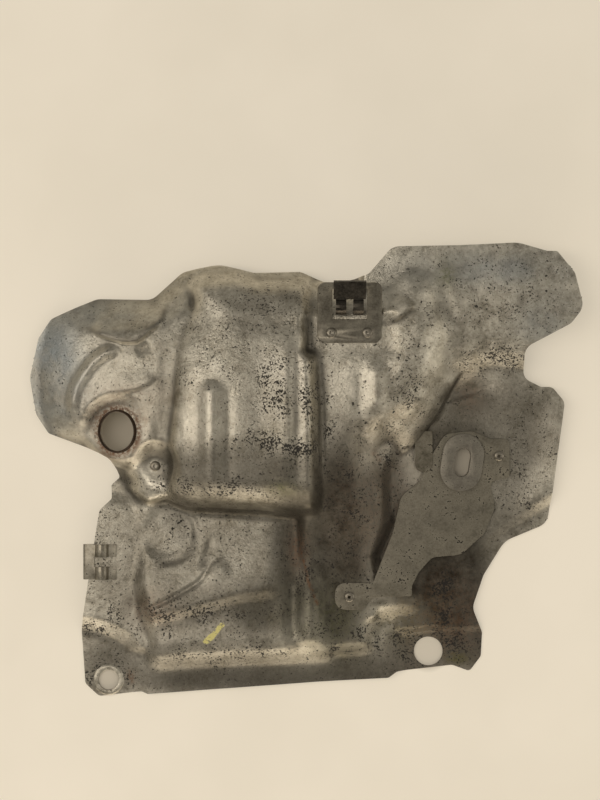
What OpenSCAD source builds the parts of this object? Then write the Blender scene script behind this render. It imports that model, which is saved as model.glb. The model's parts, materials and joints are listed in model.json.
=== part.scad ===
// Exhaust heat shield pressed from one sheet of aluminised steel, with its clips, stay and slot collar.
// The shield lies face up on its fixing faces: X runs to its right, Y to its top and Z out of its front.
// The origin is halfway across the shield, in the plane of the fixing faces.

/* [Sheet] */
// Thickness of the pressed sheet
sheet_t = 1; // [0.8:0.1:1.4]
// Spacing of the facets across the barrels
facet = 6; // [5.9:0.1:9]
// Level of the bottom flange above the fixing faces
flange_z = 5; // [3:0.5:8]
// Level of the left flange, which carries the edge clip
clip_flange_z = 8; // [6:0.5:12]

/* [Fixing holes] */
// Diameter of the left fixing hole
left_hole_d = 16; // [10:0.5:18]
// Diameter of the right fixing hole
right_hole_d = 23; // [16:0.5:26]
// Outer diameter of the seat pressed round the left fixing hole
seat_ring_d = 28; // [24:0.5:32]
// Height of that pressed seat
seat_ring_h = 0.8; // [0.5:0.1:1.5]

/* [Left barrel] */
// Level of the left barrel's crown
left_crown_z = 56; // [48:1:62]
// Length of the bead pressed into the left barrel
left_bead_l = 84; // [60:1:95]
// Width of that bead
left_bead_w = 21; // [14:1:24]
// Height of that bead
left_bead_h = 4.5; // [2:0.5:7]

/* [Right barrel] */
// Level of the right barrel's crown
right_crown_z = 38; // [32:1:44]
// Width of the bead pressed into the right barrel
right_bead_w = 19; // [12:1:22]
// Height of that bead
right_bead_h = 4; // [2:0.5:6]

/* [Lower panel] */
// Level of the raised field at the lower left
lower_field_z = 21; // [18:1:26]
// Level of the field under the stay's foot
foot_field_z = 16; // [13:1:20]
// Diameter of the round dish
dish_d = 46; // [36:1:54]
// Height of the round dish
dish_h = 4; // [2:0.5:6]

/* [Ear] */
// Level of the ear where it meets the left barrel
ear_z = 38; // [32:1:44]
// Diameter of the sensor hole
sensor_hole_d = 31; // [24:0.5:34]
// Slope of the sheet round the sensor hole, in degrees
sensor_tilt = 24; // [18:1:30]
// Height of the collar turned up round the sensor hole
sensor_rim_h = 2.5; // [1.5:0.5:4]

/* [Wing] */
// Level of the flat wing at the upper right
wing_z = 26; // [20:1:32]
// Level of the panel below the wing
side_panel_z = 8; // [5:0.5:11]

/* [Top bracket] */
// Level of the shield's seat under the bracket
bracket_seat_z = 37; // [34:1:40]
// Thickness of the bracket's plate
bracket_t = 1.5; // [1:0.1:2]
// Width of the bracket
bracket_w = 50; // [46:1:54]
// Depth of its riveted foot
bracket_foot = 14; // [12:0.5:18]
// Length of its upright, along the plate
bracket_rise = 36; // [32:1:40]
// Lean of the upright out of the foot's plane, in degrees
bracket_lean = 25; // [15:1:35]
// Width of the window
window_w = 27; // [24:1:30]
// Height of the window
window_h = 26; // [24:1:28]

/* [Rivets] */
// Shank diameter of the blind rivets
rivet_d = 4; // [3.2:0.1:4.8]
// Head diameter of the blind rivets
rivet_head_d = 8; // [7:0.5:9]
// Height of the rivet heads
rivet_head_h = 1.4; // [1:0.1:2]
// Distance between the two rivets of the bracket
rivet_pitch = 28; // [24:1:32]

/* [Stay] */
// Thickness of the stay's plate
stay_t = 2; // [1.5:0.1:2.5]
// Diameter of the opening in the shield round the collar
collar_opening_d = 52; // [50:0.5:54]

/* [Slot collar] */
// Width of the slot
slot_w = 12.5; // [10:0.5:13]
// Length of the slot
slot_l = 23; // [18:0.5:24]
// Width of the collar's flange
collar_w = 33; // [30:0.5:35]
// Length of the collar's flange
collar_l = 46; // [42:0.5:47]
// Thickness of the collar's flange
collar_flange_t = 2; // [1.5:0.1:3]
// Wall of the collar's sleeve
sleeve_wall = 2; // [1.5:0.1:2.5]
// Turn of the slot from upright, in degrees
slot_turn = -9; // [-15:1:0]

/* [Clips] */
// Thickness of the spring steel of both clips
clip_t = 0.8; // [0.6:0.1:1]
// Width of the edge clip along the flange
edge_clip_w = 28; // [24:1:32]
// Reach of the edge clip over the flange
edge_clip_reach = 22; // [18:1:24]

/* [Hidden] */

$fn = 64;
clearance = 0.05;
through = 120;

// Places on the shield, in its own frame
left_hole_at = [-156.5, -167];
right_hole_at = [99, -144];
sensor_at = [-146.5, 32];
ear_rivet_at = [-117.5, 4.5];
collar_at = [125.5, 7];
bracket_at = [35, 108];
stay_foot_at = [35.5, -99];
stay_ear_at = [155, 12];
edge_clip_at = [-170, -72];
dish_at = [-109, -47.5];

// Levels that the pieces share
washer_t = 5;
collar_seat_z = washer_t - sheet_t;
stay_z = collar_seat_z + sheet_t;
foot_z = foot_field_z + sheet_t;

// Outline of the trimmed sheet, clockwise from the ear: each corner is [x, y, radius]
outline_corners = [
  [-219, 74, 20], [-212, 106, 14], [-202, 121, 10], [-165, 137, 14], [-121, 136, 12], [-97, 158, 14],
  [-68, 164, 30], [-40, 157, 10], [-3, 158, 10], [20, 148, 10], [50, 155, 10], [69, 177, 12], [117, 178, 40],
  [168, 180.5, 30], [191, 174, 3], [199, 174, 3], [213, 157, 8], [220, 130, 12], [210, 117, 10], [174, 98, 10],
  [174, 74, 9], [188, 67, 4], [197, 67, 6], [207, 55, 8], [197, -20, 20], [194, -42, 12], [160, -56, 20],
  [143, -83, 20], [134, -109, 12], [142, -129, 6], [141, -148, 5], [132, -160, 3], [122, -153.5, 6],
  [74, -157.5, 4], [67, -165, 4], [12, -168, 60], [-125, -178, 3], [-130, -176, 4], [-164, -180, 5],
  [-175, -170, 5], [-178, -128, 30], [-168, -61, 60], [-163, -31, 5], [-153.5, -22, 3], [-154, -11, 3],
  [-147, -5, 3], [-153, 10, 10], [-163, 15, 10], [-204, 30, 5], [-214, 45, 12]
];

// Regions of the pressed form
lower_field = [
  [-126, -25], [-122, -68], [-128, -112], [-126, -152], [-112, -161], [-97, -157], [-52, -153], [-10, -147],
  [22, -150], [22, -20], [-60, -20]
];
foot_field = [
  [8, 20], [58, 20], [58, -45], [50, -70], [54, -91], [93, -94], [93, -103], [62, -109], [55, -122], [53, -140],
  [20, -150], [8, -150]
];
ear_form = [
  [-226, 74], [-218, 110], [-205, 128], [-165, 144], [-118, 145], [-95, 160], [-90, 60], [-100, -20],
  [-140, -6], [-160, 10], [-208, 26], [-222, 44]
];
left_form = [
  [-106, 122], [-99, 140], [-80, 151], [-40, 147], [0, 149], [16, 140], [24, 100], [26, -20], [16, -35],
  [-34, -31], [-90, -27], [-116, -20], [-113, 10], [-107, 50]
];
right_form = [
  [0, 144], [28, 142], [50, 146], [70, 134], [90, 124], [119, 112], [124, 82], [112, 62], [97, 39], [84, 23],
  [67, 12], [65, -40], [56, -62], [44, -80], [0, -84]
];
wing_form = [
  [52, 160], [60, 190], [230, 190], [230, 112], [190, 96], [150, 86], [128, 84], [118, 104], [104, 126],
  [84, 132], [66, 128]
];
shelf_form = [
  [128, 84], [230, 84], [182, 40], [171, 36], [160, 38], [149, 41], [139, 47], [128, 57], [118, 66]
];
side_form = [
  [150, 60], [215, 90], [215, -70], [160, -70], [120, -80], [96, -92], [96, -122], [145, -122], [134, -75],
  [150, -40], [158, -8], [166, 20], [160, 36]
];
left_pad = [
  [-200, -136], [-165, -139], [-146, -143], [-136, -148], [-132, -156], [-132, -200], [-200, -200]
];
right_pad = [
  [78, -180], [78, -132], [92, -128], [112, -128], [150, -128], [150, -180]
];

// Beads and folds: the line of each crest
left_bead = [[-72.5, 70], [-72.5, 70 - left_bead_l]];
left_ridge = [[-20.5, 100], [-20.5, 0]];
left_groove = [[-6.5, 96], [-6.5, -10]];
right_bead = [[55.5, 86], [55.5, -35]];
step_rib = [[-6, 130], [2, 100], [6, 88], [7, -60], [5, -139]];
diagonal_fold = [[-128, -112], [-110, -103], [-91, -92], [-78, -80], [-62, -66]];
second_fold = [[-118, -118], [-95, -112], [-66, -104], [-38, -94]];
ear_bead = [[-142, 98], [-154, 98], [-164, 91], [-175, 80], [-182, 66], [-183, 42]];
ear_fold = [[-190, 116], [-161, 108], [-145, 102], [-130, 104], [-121, 112], [-112, 120]];
wing_groove = [[107, 139], [113, 126], [122, 112]];
sweep_fold = [[60, 117], [68, 118], [78, 123], [88, 134]];
rim_fold = [[72, 174], [117, 174], [190, 173]];

// Smooth step from 0 to 1
function smooth(t) = let (c = min(1, max(0, t))) c * c * (3 - 2 * c);

// Blend from a to b
function mix(a, b, share) = a + (b - a) * share;

// Distance from p to the segment from a to b
function segment_gap(p, a, b) =
  let (ab = b - a, share = min(1, max(0, (p - a) * ab / (ab * ab)))) norm(p - a - share * ab);

// Distance from p to an open line of points
function line_gap(p, line) = min([for (i = [1:len(line) - 1]) segment_gap(p, line[i - 1], line[i])]);

// Whether p lies inside a closed outline
function inside(p, corners) =
  len([
    for (i = [0:len(corners) - 1])
      let (a = corners[i], b = corners[(i + 1) % len(corners)])
        if ((a.y > p.y) != (b.y > p.y) && p.x < a.x + (p.y - a.y) * (b.x - a.x) / (b.y - a.y)) 1
  ]) % 2 == 1;

// Share of a region at p: 1 inside, 0 outside, with its wall spread over the given width
function region(p, corners, wall) =
  let (
    last = len(corners) - 1,
    gap = min([for (i = [0:last]) segment_gap(p, corners[i], corners[i == last ? 0 : i + 1])])
  ) smooth(0.5 + (inside(p, corners) ? gap : -gap) / wall);

// Rounded bead along a line, of the given width and height
function bead(p, line, width, height) = height * smooth(1 - line_gap(p, line) / (width / 2));

// Flat disc with a blended edge
function disc(p, centre, r, wall) = smooth(1 - (norm(p - centre) - r) / wall);

// Flat rectangle with a blended edge
function plate(p, centre, size, wall) =
  let (d = [max(0, abs(p.x - centre.x) - size.x / 2), max(0, abs(p.y - centre.y) - size.y / 2)])
    smooth(1 - norm(d) / wall);

// Level of the sheet's back face before the beads and seats are pressed
function lower_form(p) =
  let (
    flange = mix(flange_z, clip_flange_z, smooth((p.y + 132) / 12) * smooth((-100 - p.x) / 20)),
    fall = 6 * smooth((-30 - p.y) / 60),
    field = mix(flange, lower_field_z - 4 + fall, region(p, lower_field, 12)),
    side = mix(field, side_panel_z, region(p, side_form, 14))
  ) mix(side, foot_field_z, region(p, foot_field, 10));

function ear_level(p) =
  let (spread = norm([p.x + 100, (p.y - 66) * 0.92]))
    max(0, ear_z * (1 - pow(spread / 116, 2.4)));

function left_level(p) =
  left_crown_z - 14 * pow(abs(p.y - 50) / 100, 2) - 12 * pow(abs(p.x + 62) / 78, 2);

function right_level(p) =
  right_crown_z - 6 * pow(abs(p.y - 40) / 110, 2) - 3 * smooth((p.x - 70) / 40);

function main_form(p) =
  let (
    low = lower_form(p),
    ear = mix(low, ear_level(p), region(p, ear_form, 18)),
    wing = mix(ear, wing_z - 3 * smooth((p.x - 150) / 70), region(p, wing_form, 24)),
    shelf = mix(wing, (wing_z + side_panel_z) / 2 + 3, region(p, shelf_form, 14)),
    right = mix(shelf, right_level(p), region(p, right_form, 12 + 12 * smooth((p.y - 30) / 60)))
  ) mix(right, left_level(p), region(p, left_form, 26));

// Level with the beads, folds, ribs and dish
function beaded_form(p) =
  main_form(p)
  + bead(p, left_bead, left_bead_w, left_bead_h)
  + bead(p, left_ridge, 20, 3)
  - bead(p, left_groove, 12, 3)
  + bead(p, right_bead, right_bead_w, right_bead_h)
  + bead(p, step_rib, 22, 5)
  + bead(p, diagonal_fold, 16, 4)
  + bead(p, second_fold, 18, 3)
  + bead(p, ear_bead, 13, 3)
  + bead(p, ear_fold, 16, 4)
  - bead(p, wing_groove, 14, 3)
  + bead(p, sweep_fold, 14, 3)
  + bead(p, rim_fold, 12, 1.5)
  + dish_h * disc(p, dish_at, dish_d / 2 - 8, 8);

// Level of the tilted seat round the sensor hole
function sensor_level(p) = sensor_z + (p.x - sensor_at.x) * tan(sensor_tilt);
sensor_z = 27;

// Level of the sheet's back face, with the flat seats of all that is fixed to it
function level(p) =
  let (
    form = beaded_form(p),
    sensor = mix(form, sensor_level(p), disc(p, sensor_at, sensor_hole_d / 2 + 5, 12)),
    ear_seat = mix(sensor, ear_rivet_z, disc(p, ear_rivet_at, 10, 9)),
    bracket = mix(ear_seat, bracket_seat_z, plate(p, bracket_at, [bracket_w + 14, bracket_foot + 14], 12)),
    collar = mix(bracket, collar_seat_z, region(p, collar_seat, 12)),
    foot = mix(collar, foot_field_z, plate(p, stay_foot_at, [42, 36], 8)),
    clip = mix(foot, clip_flange_z, plate(p, [edge_clip_at.x, edge_clip_at.y], [64, 44], 8)),
    left = mix(clip, 0, region(p, left_pad, 8))
  ) mix(left, 0, region(p, right_pad, 8));
ear_rivet_z = 22;
collar_seat = [
  [67, 4], [90, 18], [104, 33], [118, 46], [139, 40], [150, 37], [176, 37], [178, 6], [168, -14], [160, -40],
  [140, -64], [112, -76], [97, -88], [60, -85], [54, -68], [66, -40]
];

// Grid of points over the sheet
grid_low = [-226, -188];
grid_high = [226, 188];
barrels_x = [-134, 80];

// Evenly spaced values from a to just short of b
function spaced(a, b, gap) = let (n = ceil((b - a) / gap)) [for (i = [0:n - 1]) mix(a, b, i / n)];

grid_x = concat(
  spaced(grid_low.x, barrels_x[0], facet * 1.3), spaced(barrels_x[0], barrels_x[1], facet),
  spaced(barrels_x[1], grid_high.x, facet * 1.3), [grid_high.x]
);
grid_y = concat(spaced(grid_low.y, grid_high.y, facet * 1.08), [grid_high.y]);
grid_nx = len(grid_x) - 1;
grid_ny = len(grid_y) - 1;

function index(i, j) = i * (grid_ny + 1) + j;

// Whether a grid cell reaches the trimmed sheet
function cell_used(used, i, j) =
  i >= 0 && j >= 0 && i < grid_nx && j < grid_ny
  && (used[index(i, j)] || used[index(i + 1, j)] || used[index(i, j + 1)] || used[index(i + 1, j + 1)]);

// Outline with its corners rounded
function rounded(corners) =
  [for (i = [0:len(corners) - 1])
    let (
      n = len(corners),
      c = corners[i],
      before = corners[(i + n - 1) % n],
      after = corners[(i + 1) % n],
      p = [c.x, c.y],
      u = [before.x, before.y] - p,
      v = [after.x, after.y] - p,
      half = acos(max(-1, min(1, u * v / (norm(u) * norm(v))))) / 2,
      reach = min(c.z / tan(half), 0.45 * norm(u), 0.45 * norm(v)),
      start = p + reach * u / norm(u),
      stop = p + reach * v / norm(v),
      steps = reach > 4 ? 4 : 2
    )
    for (k = [0:steps])
      let (t = k / steps)
        (1 - t) * (1 - t) * start + 2 * t * (1 - t) * p + t * t * stop];

// Sheet as a closed skin: the back face, the front face offset along its normal, and the rim
module pressed_skin() {
  n = (grid_nx + 1) * (grid_ny + 1);
  outline = rounded(outline_corners);
  points = [for (x = grid_x) for (y = grid_y) [x, y]];
  used = [for (p = points) inside(p, outline)];
  near = [
    for (i = [0:grid_nx]) for (j = [0:grid_ny])
      len([for (a = [-2:2]) for (b = [-2:2])
        if (i + a >= 0 && i + a <= grid_nx && j + b >= 0 && j + b <= grid_ny && used[index(i + a, j + b)]) 1]) > 0
  ];
  z = [for (k = [0:n - 1]) near[k] ? level(points[k]) : 0];
  back = [for (k = [0:n - 1]) [points[k].x, points[k].y, z[k]]];
  front = [
    for (i = [0:grid_nx]) for (j = [0:grid_ny])
      let (
        k = index(i, j),
        i0 = max(0, i - 1), i1 = min(grid_nx, i + 1),
        j0 = max(0, j - 1), j1 = min(grid_ny, j + 1),
        slope_x = (z[index(i1, j)] - z[index(i0, j)]) / (grid_x[i1] - grid_x[i0]),
        slope_y = (z[index(i, j1)] - z[index(i, j0)]) / (grid_y[j1] - grid_y[j0]),
        rise = sqrt(1 + slope_x * slope_x + slope_y * slope_y)
      )
        back[k] + sheet_t * [-slope_x, -slope_y, 1] / rise
  ];
  cells = [for (i = [0:grid_nx - 1]) for (j = [0:grid_ny - 1]) if (cell_used(used, i, j)) [i, j]];
  faces = [
    for (c = cells)
      let (
        a = index(c.x, c.y),
        b = index(c.x + 1, c.y),
        d = index(c.x, c.y + 1),
        e = index(c.x + 1, c.y + 1),
        rising = abs(z[a] - z[e]) < abs(z[b] - z[d])
      )
      each [
        rising ? [a, b, e] : [a, b, d],
        rising ? [a, e, d] : [b, e, d],
        rising ? [n + a, n + e, n + b] : [n + a, n + d, n + b],
        rising ? [n + a, n + d, n + e] : [n + b, n + d, n + e],
        if (!cell_used(used, c.x - 1, c.y)) [a, d, n + d, n + a],
        if (!cell_used(used, c.x + 1, c.y)) [e, b, n + b, n + e],
        if (!cell_used(used, c.x, c.y - 1)) [b, a, n + a, n + b],
        if (!cell_used(used, c.x, c.y + 1)) [d, e, n + e, n + d]
      ]
  ];
  polyhedron(points = concat(back, front), faces = faces, convexity = 12);
}

// Drilled hole straight through the sheet
module drilled(at, d) {
  translate([at.x, at.y, -through / 2]) cylinder(d = d, h = through);
}

// Stadium outline: a slot with round ends, its length along Y
module stadium(w, l) {
  square([w, l - w], center = true);
  for (s = [-1, 1])
    translate([0, s * (l - w) / 2]) circle(d = w);
}

// Blind rivet from its seat at z = 0: head above, shank and formed tail below the gripped sheets
module blind_rivet(grip) {
  tail_d = rivet_d * 1.5;
  tail_l = 3;
  core = rivet_d * 0.3;
  rotate_extrude()
    polygon([
      [core, -grip - tail_l], [tail_d / 2 - 0.8, -grip - tail_l], [tail_d / 2, -grip - tail_l + 0.8],
      [tail_d / 2, -grip], [rivet_d / 2, -grip], [rivet_d / 2, 0], [rivet_head_d / 2, 0],
      [rivet_head_d / 2, rivet_head_h * 0.35], [rivet_head_d * 0.38, rivet_head_h * 0.85],
      [rivet_head_d * 0.25, rivet_head_h], [core, rivet_head_h]
    ]);
}

function bracket_rivet_at(side) = [bracket_at.x + side * rivet_pitch / 2, bracket_at.y + 1];

rivet_hole_d = rivet_d + 2 * clearance;

// Pressed shield
module shield_panel() {
  color("#8f8a80")
    difference() {
      union() {
        intersection() {
          pressed_skin();
          translate([0, 0, -through / 2]) linear_extrude(height = 2 * through) polygon(rounded(outline_corners));
        }
        seat_ring();
        tongue();
      }
      drilled(left_hole_at, left_hole_d);
      drilled(right_hole_at, right_hole_d);
      drilled(collar_at, collar_opening_d);
      drilled(ear_rivet_at, rivet_hole_d);
      drilled(stay_ear_at, rivet_hole_d);
      drilled(stay_foot_at, rivet_hole_d);
      for (side = [-1, 1])
        drilled(bracket_rivet_at(side), rivet_hole_d);
      translate([sensor_at.x, sensor_at.y, sensor_z]) rotate([0, -sensor_tilt, 0])
        cylinder(d = sensor_hole_d, h = 60, center = true);
    }
  color("#8f8a80") sensor_rim();
}

// Raised seat round the left fixing hole
module seat_ring() {
  translate([left_hole_at.x, left_hole_at.y, sheet_t])
    rotate_extrude()
      polygon([
        [left_hole_d / 2 - 1, -0.2], [seat_ring_d / 2, -0.2], [seat_ring_d / 2, 0],
        [seat_ring_d / 2 - 1.5, seat_ring_h], [left_hole_d / 2 - 1, seat_ring_h]
      ]);
}

// Collar turned up round the sensor hole
module sensor_rim() {
  translate([sensor_at.x, sensor_at.y, sensor_z]) rotate([0, -sensor_tilt, 0])
    rotate_extrude()
      polygon([
        [sensor_hole_d / 2, 0], [sensor_hole_d / 2 + 1.6, 0], [sensor_hole_d / 2 + 1.6, sheet_t],
        [sensor_hole_d / 2 + 1, sheet_t + sensor_rim_h], [sensor_hole_d / 2, sheet_t + sensor_rim_h]
      ]);
}

tongue_w = 14;
tongue_l = 33;
tongue_at = [95, 32];

// Tongue lanced from the sheet, which laps over the stay
module tongue() {
  translate([tongue_at.x, tongue_at.y, stay_z + stay_t + clearance])
    linear_extrude(height = sheet_t) {
      translate([-tongue_w / 2, -tongue_l + tongue_w / 2]) square([tongue_w, tongue_l - tongue_w / 2]);
      translate([0, -tongue_l + tongue_w / 2]) circle(d = tongue_w);
    }
}

bracket_corner_r = 6;
bracket_chamfer = 4;

// Moves its children onto the bracket's upright, its foot's back edge at y = 0
module on_upright() {
  rotate([bracket_lean, 0, 0]) children();
}

// Riveted bracket: foot and leaning upright bent from one plate, with a window
module top_bracket() {
  inner = bracket_t * tan(bracket_lean / 2);
  tip = [bracket_rise * cos(bracket_lean), bracket_rise * sin(bracket_lean)];
  back = bracket_t * [-sin(bracket_lean), cos(bracket_lean)];
  color("#6e6a62")
    translate([bracket_at.x, bracket_at.y + bracket_foot / 2, bracket_seat_z + sheet_t])
      difference() {
        translate([-bracket_w / 2, 0, 0]) rotate([90, 0, 90])
          linear_extrude(height = bracket_w)
            polygon([[-bracket_foot, 0], [0, 0], tip, tip + back, [-inner, bracket_t], [-bracket_foot, bracket_t]]);
        for (side = [-1, 1]) {
          translate([side * bracket_w / 2, -bracket_foot, 0]) rotate([0, 0, 45])
            cube([bracket_chamfer * sqrt(2), bracket_chamfer * sqrt(2), through], center = true);
          on_upright()
            translate([side * (bracket_w / 2 - bracket_corner_r), bracket_rise - bracket_corner_r, -through / 2])
              linear_extrude(height = through)
                difference() {
                  translate([side > 0 ? 0 : -2 * bracket_corner_r, 0])
                    square(2 * bracket_corner_r);
                  circle(r = bracket_corner_r);
                }
          translate([side * rivet_pitch / 2, 1 - bracket_foot / 2, -through / 2])
            cylinder(d = rivet_hole_d, h = through);
        }
        on_upright()
          translate([-window_w / 2, bracket_rise - window_h - 5, -through / 2]) cube([window_w, window_h, through]);
      }
}

// Band of spring steel: the profile of a bent strip, thickened, then extruded to its width
module bent_strip(path, width, t) {
  rotate([90, 0, 90])
    translate([0, 0, -width / 2])
      linear_extrude(height = width)
        for (i = [1:len(path) - 1])
          let (a = path[i - 1], b = path[i], d = b - a)
            translate(a) rotate(atan2(d.y, d.x)) {
              translate([0, -t / 2]) square([norm(d), t]);
              circle(d = t);
              translate([norm(d), 0]) circle(d = t);
            }
}

// Arc of points for a bent strip
function arc(centre, r, from, to, n) = [for (k = [0:n]) centre + r * [cos(mix(from, to, k / n)), sin(mix(from, to, k / n))]];

// Spring clip hooked over the bracket's window, with two curled tongues
module spring_clip() {
  foot_top = bracket_at.y + bracket_foot / 2;
  top = bracket_rise - 5;
  lift = bracket_t + clip_t / 2 + clearance;
  color("#5c5850")
    translate([bracket_at.x, foot_top, bracket_seat_z + sheet_t]) rotate([bracket_lean, 0, 0]) {
      bent_strip(concat(
        [[top - 9, -clip_t / 2 - clearance], [top + 5 + clip_t, -clip_t / 2 - clearance],
         [top + 5 + clip_t, lift], [top - 7, lift]]), window_w - 2, clip_t);
      for (side = [-1, 1])
        translate([side * window_w * 0.25, 0, 0])
          bent_strip(concat(
            [[top - 7, lift], [top - 9, lift]],
            arc([top - 15, lift - 1], 6, 20, 200 + 30 * side, 8)), window_w * 0.3, clip_t);
    }
}

module bracket_rivet(side) {
  at = bracket_rivet_at(side);
  color("#9a958a")
    translate([at.x, at.y, bracket_seat_z + sheet_t + bracket_t]) blind_rivet(sheet_t + bracket_t);
}

module bracket_rivet_left() { bracket_rivet(-1); }

module bracket_rivet_right() { bracket_rivet(1); }

// Edge clip: a spring strip folded round the left flange's rim, with two arched straps in front
module edge_clip() {
  color("#6a665e")
    translate([edge_clip_at.x, edge_clip_at.y, clip_flange_z + sheet_t / 2]) {
      gap = sheet_t / 2 + clearance + clip_t / 2;
      for (strap = [-1, 1])
        translate([0, strap * (edge_clip_w / 2 - 5), 0]) rotate([0, 0, -90])
          bent_strip(concat(
            [[edge_clip_reach, -gap], [-4, -gap], [-5.5, 0], [-4, gap], [2, gap]],
            arc([9, gap], 5, 180, 0, 8), [[edge_clip_reach - 2, gap]]), 10, clip_t);
      rotate([0, 0, -90]) bent_strip([[edge_clip_reach, -gap], [-4, -gap], [-5.5, 0], [-4, gap], [3, gap]], edge_clip_w - 18, clip_t);
    }
}

// Outline of the stay, clockwise from its neck at the collar
stay_corners = [
  [101, 12, 10], [112, 30, 12], [134, 32, 12], [147.5, 26, 4], [163.5, 25.5, 3], [163.5, -5, 3], [147, -8, 8],
  [152, -28, 10], [143, -49, 14], [124, -66, 12], [101, -68, 8], [90, -80, 6], [85, -90, 2], [85, -98.5, 2],
  [54, -99, 6], [47, -109, 6], [24, -109.5, 11], [24, -87.5, 10], [54, -88, 3], [70, -49, 20], [77, -20, 12],
  [92, -8, 8]
];
stay_bends_y = [-26, -84];

// Stay: a plate cut to its outline, level at the collar and at the foot with a slope between them
module stay_plate() {
  half = stay_t * tan(atan((foot_z - stay_z) / (stay_bends_y[0] - stay_bends_y[1])) / 2);
  color("#787263")
    difference() {
      intersection() {
        translate([0, 0, -through / 2]) linear_extrude(height = through) polygon(rounded(stay_corners));
        rotate([90, 0, 90])
          linear_extrude(height = 2 * through)
            polygon([
              [through, stay_z], [stay_bends_y[0], stay_z], [stay_bends_y[1], foot_z], [-through, foot_z],
              [-through, foot_z + stay_t], [stay_bends_y[1] + half, foot_z + stay_t],
              [stay_bends_y[0] + half, stay_z + stay_t], [through, stay_z + stay_t]
            ]);
      }
      translate([collar_at.x, collar_at.y, -through / 2]) rotate(slot_turn)
        linear_extrude(height = through)
          stadium(slot_w + 2 * (sleeve_wall + clearance), slot_l + 2 * (sleeve_wall + clearance));
      drilled(stay_ear_at, rivet_hole_d);
      drilled(stay_foot_at, rivet_hole_d);
    }
}

module stay_rivet_upper() {
  color("#9a958a") translate([stay_ear_at.x, stay_ear_at.y, stay_z + stay_t]) blind_rivet(sheet_t + stay_t);
}

module stay_rivet_lower() {
  color("#9a958a") translate([stay_foot_at.x, stay_foot_at.y, foot_z + stay_t]) blind_rivet(sheet_t + stay_t);
}

// Slot collar: an oval flange on the stay's front with a sleeve down to the washer
module slot_collar() {
  color("#85807a")
    translate([collar_at.x, collar_at.y, 0]) rotate(slot_turn)
      difference() {
        union() {
          translate([0, 0, stay_z + stay_t]) linear_extrude(height = collar_flange_t) stadium(collar_w, collar_l);
          linear_extrude(height = stay_z + stay_t) stadium(slot_w + 2 * sleeve_wall, slot_l + 2 * sleeve_wall);
        }
        translate([0, 0, -1]) linear_extrude(height = 20) stadium(slot_w, slot_l);
      }
}

// Washer pressed on the sleeve behind the stay
module slot_washer() {
  color("#7d786e")
    translate([collar_at.x, collar_at.y, 0]) rotate(slot_turn)
      linear_extrude(height = washer_t)
        difference() {
          stadium(collar_w, collar_l);
          stadium(slot_w + 2 * (sleeve_wall + clearance), slot_l + 2 * (sleeve_wall + clearance));
        }
}

module ear_rivet() {
  color("#9a958a")
    translate([ear_rivet_at.x, ear_rivet_at.y, ear_rivet_z + sheet_t]) blind_rivet(sheet_t);
}

shield_panel();
top_bracket();
spring_clip();
bracket_rivet_left();
bracket_rivet_right();
edge_clip();
stay_plate();
stay_rivet_upper();
stay_rivet_lower();
slot_collar();
slot_washer();
ear_rivet();
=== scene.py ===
"""Exhaust heat shield: one pressed sheet with its bracket, clips, stay and collar.

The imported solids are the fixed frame. This script presses the sheet again on a fine grid,
gives every piece its finish, and sets up the floor, the lights and the camera.
"""

from __future__ import annotations

import json
import logging
import math
from collections.abc import Iterator
from contextlib import contextmanager
from dataclasses import dataclass, field
from enum import Enum

import bmesh
import bpy
import numpy as np
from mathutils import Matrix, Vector
from mathutils.geometry import delaunay_2d_cdt

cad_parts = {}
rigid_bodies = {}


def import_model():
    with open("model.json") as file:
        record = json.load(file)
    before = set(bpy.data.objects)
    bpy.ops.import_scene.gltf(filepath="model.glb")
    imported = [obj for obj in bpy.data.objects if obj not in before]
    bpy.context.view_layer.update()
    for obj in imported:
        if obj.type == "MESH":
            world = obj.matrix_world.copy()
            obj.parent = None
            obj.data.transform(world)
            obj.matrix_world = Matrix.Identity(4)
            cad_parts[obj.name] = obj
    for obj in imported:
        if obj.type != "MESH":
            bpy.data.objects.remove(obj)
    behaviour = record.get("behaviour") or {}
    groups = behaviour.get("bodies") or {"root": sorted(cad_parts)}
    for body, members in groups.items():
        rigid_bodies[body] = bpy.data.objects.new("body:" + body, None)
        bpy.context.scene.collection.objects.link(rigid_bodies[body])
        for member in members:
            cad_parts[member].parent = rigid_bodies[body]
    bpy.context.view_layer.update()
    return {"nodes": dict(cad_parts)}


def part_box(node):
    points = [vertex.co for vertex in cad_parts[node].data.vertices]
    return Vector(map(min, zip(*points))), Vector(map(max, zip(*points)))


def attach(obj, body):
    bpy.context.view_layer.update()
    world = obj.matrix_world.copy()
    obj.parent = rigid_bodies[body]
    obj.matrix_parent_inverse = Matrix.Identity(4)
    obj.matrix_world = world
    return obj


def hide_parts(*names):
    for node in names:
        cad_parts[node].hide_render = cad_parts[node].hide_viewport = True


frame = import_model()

logging.basicConfig(level=logging.INFO, format="%(message)s")
log = logging.getLogger("heat_shield")

MM = 0.001
Line = list[tuple[float, float]]
Grid = np.ndarray
Tree = bpy.types.NodeTree
Socket = bpy.types.NodeSocket
Solid = bpy.types.Object


# ---------------------------------------------------------------- small tools


def linear(code: str) -> tuple[float, float, float, float]:
    """Turn an sRGB hex colour into linear light.

    Args:
        code: a colour such as "#8c877a".

    Returns:
        Red, green, blue and alpha.
    """
    parts = [int(code[i : i + 2], 16) / 255 for i in (1, 3, 5)]
    light = [c / 12.92 if c <= 0.04045 else ((c + 0.055) / 1.055) ** 2.4 for c in parts]
    return light[0], light[1], light[2], 1.0


def per_mm(size: float) -> float:
    """Texture scale on Object coordinates for a pattern of this size in mm."""
    return 1.0 / (size * MM)


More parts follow.
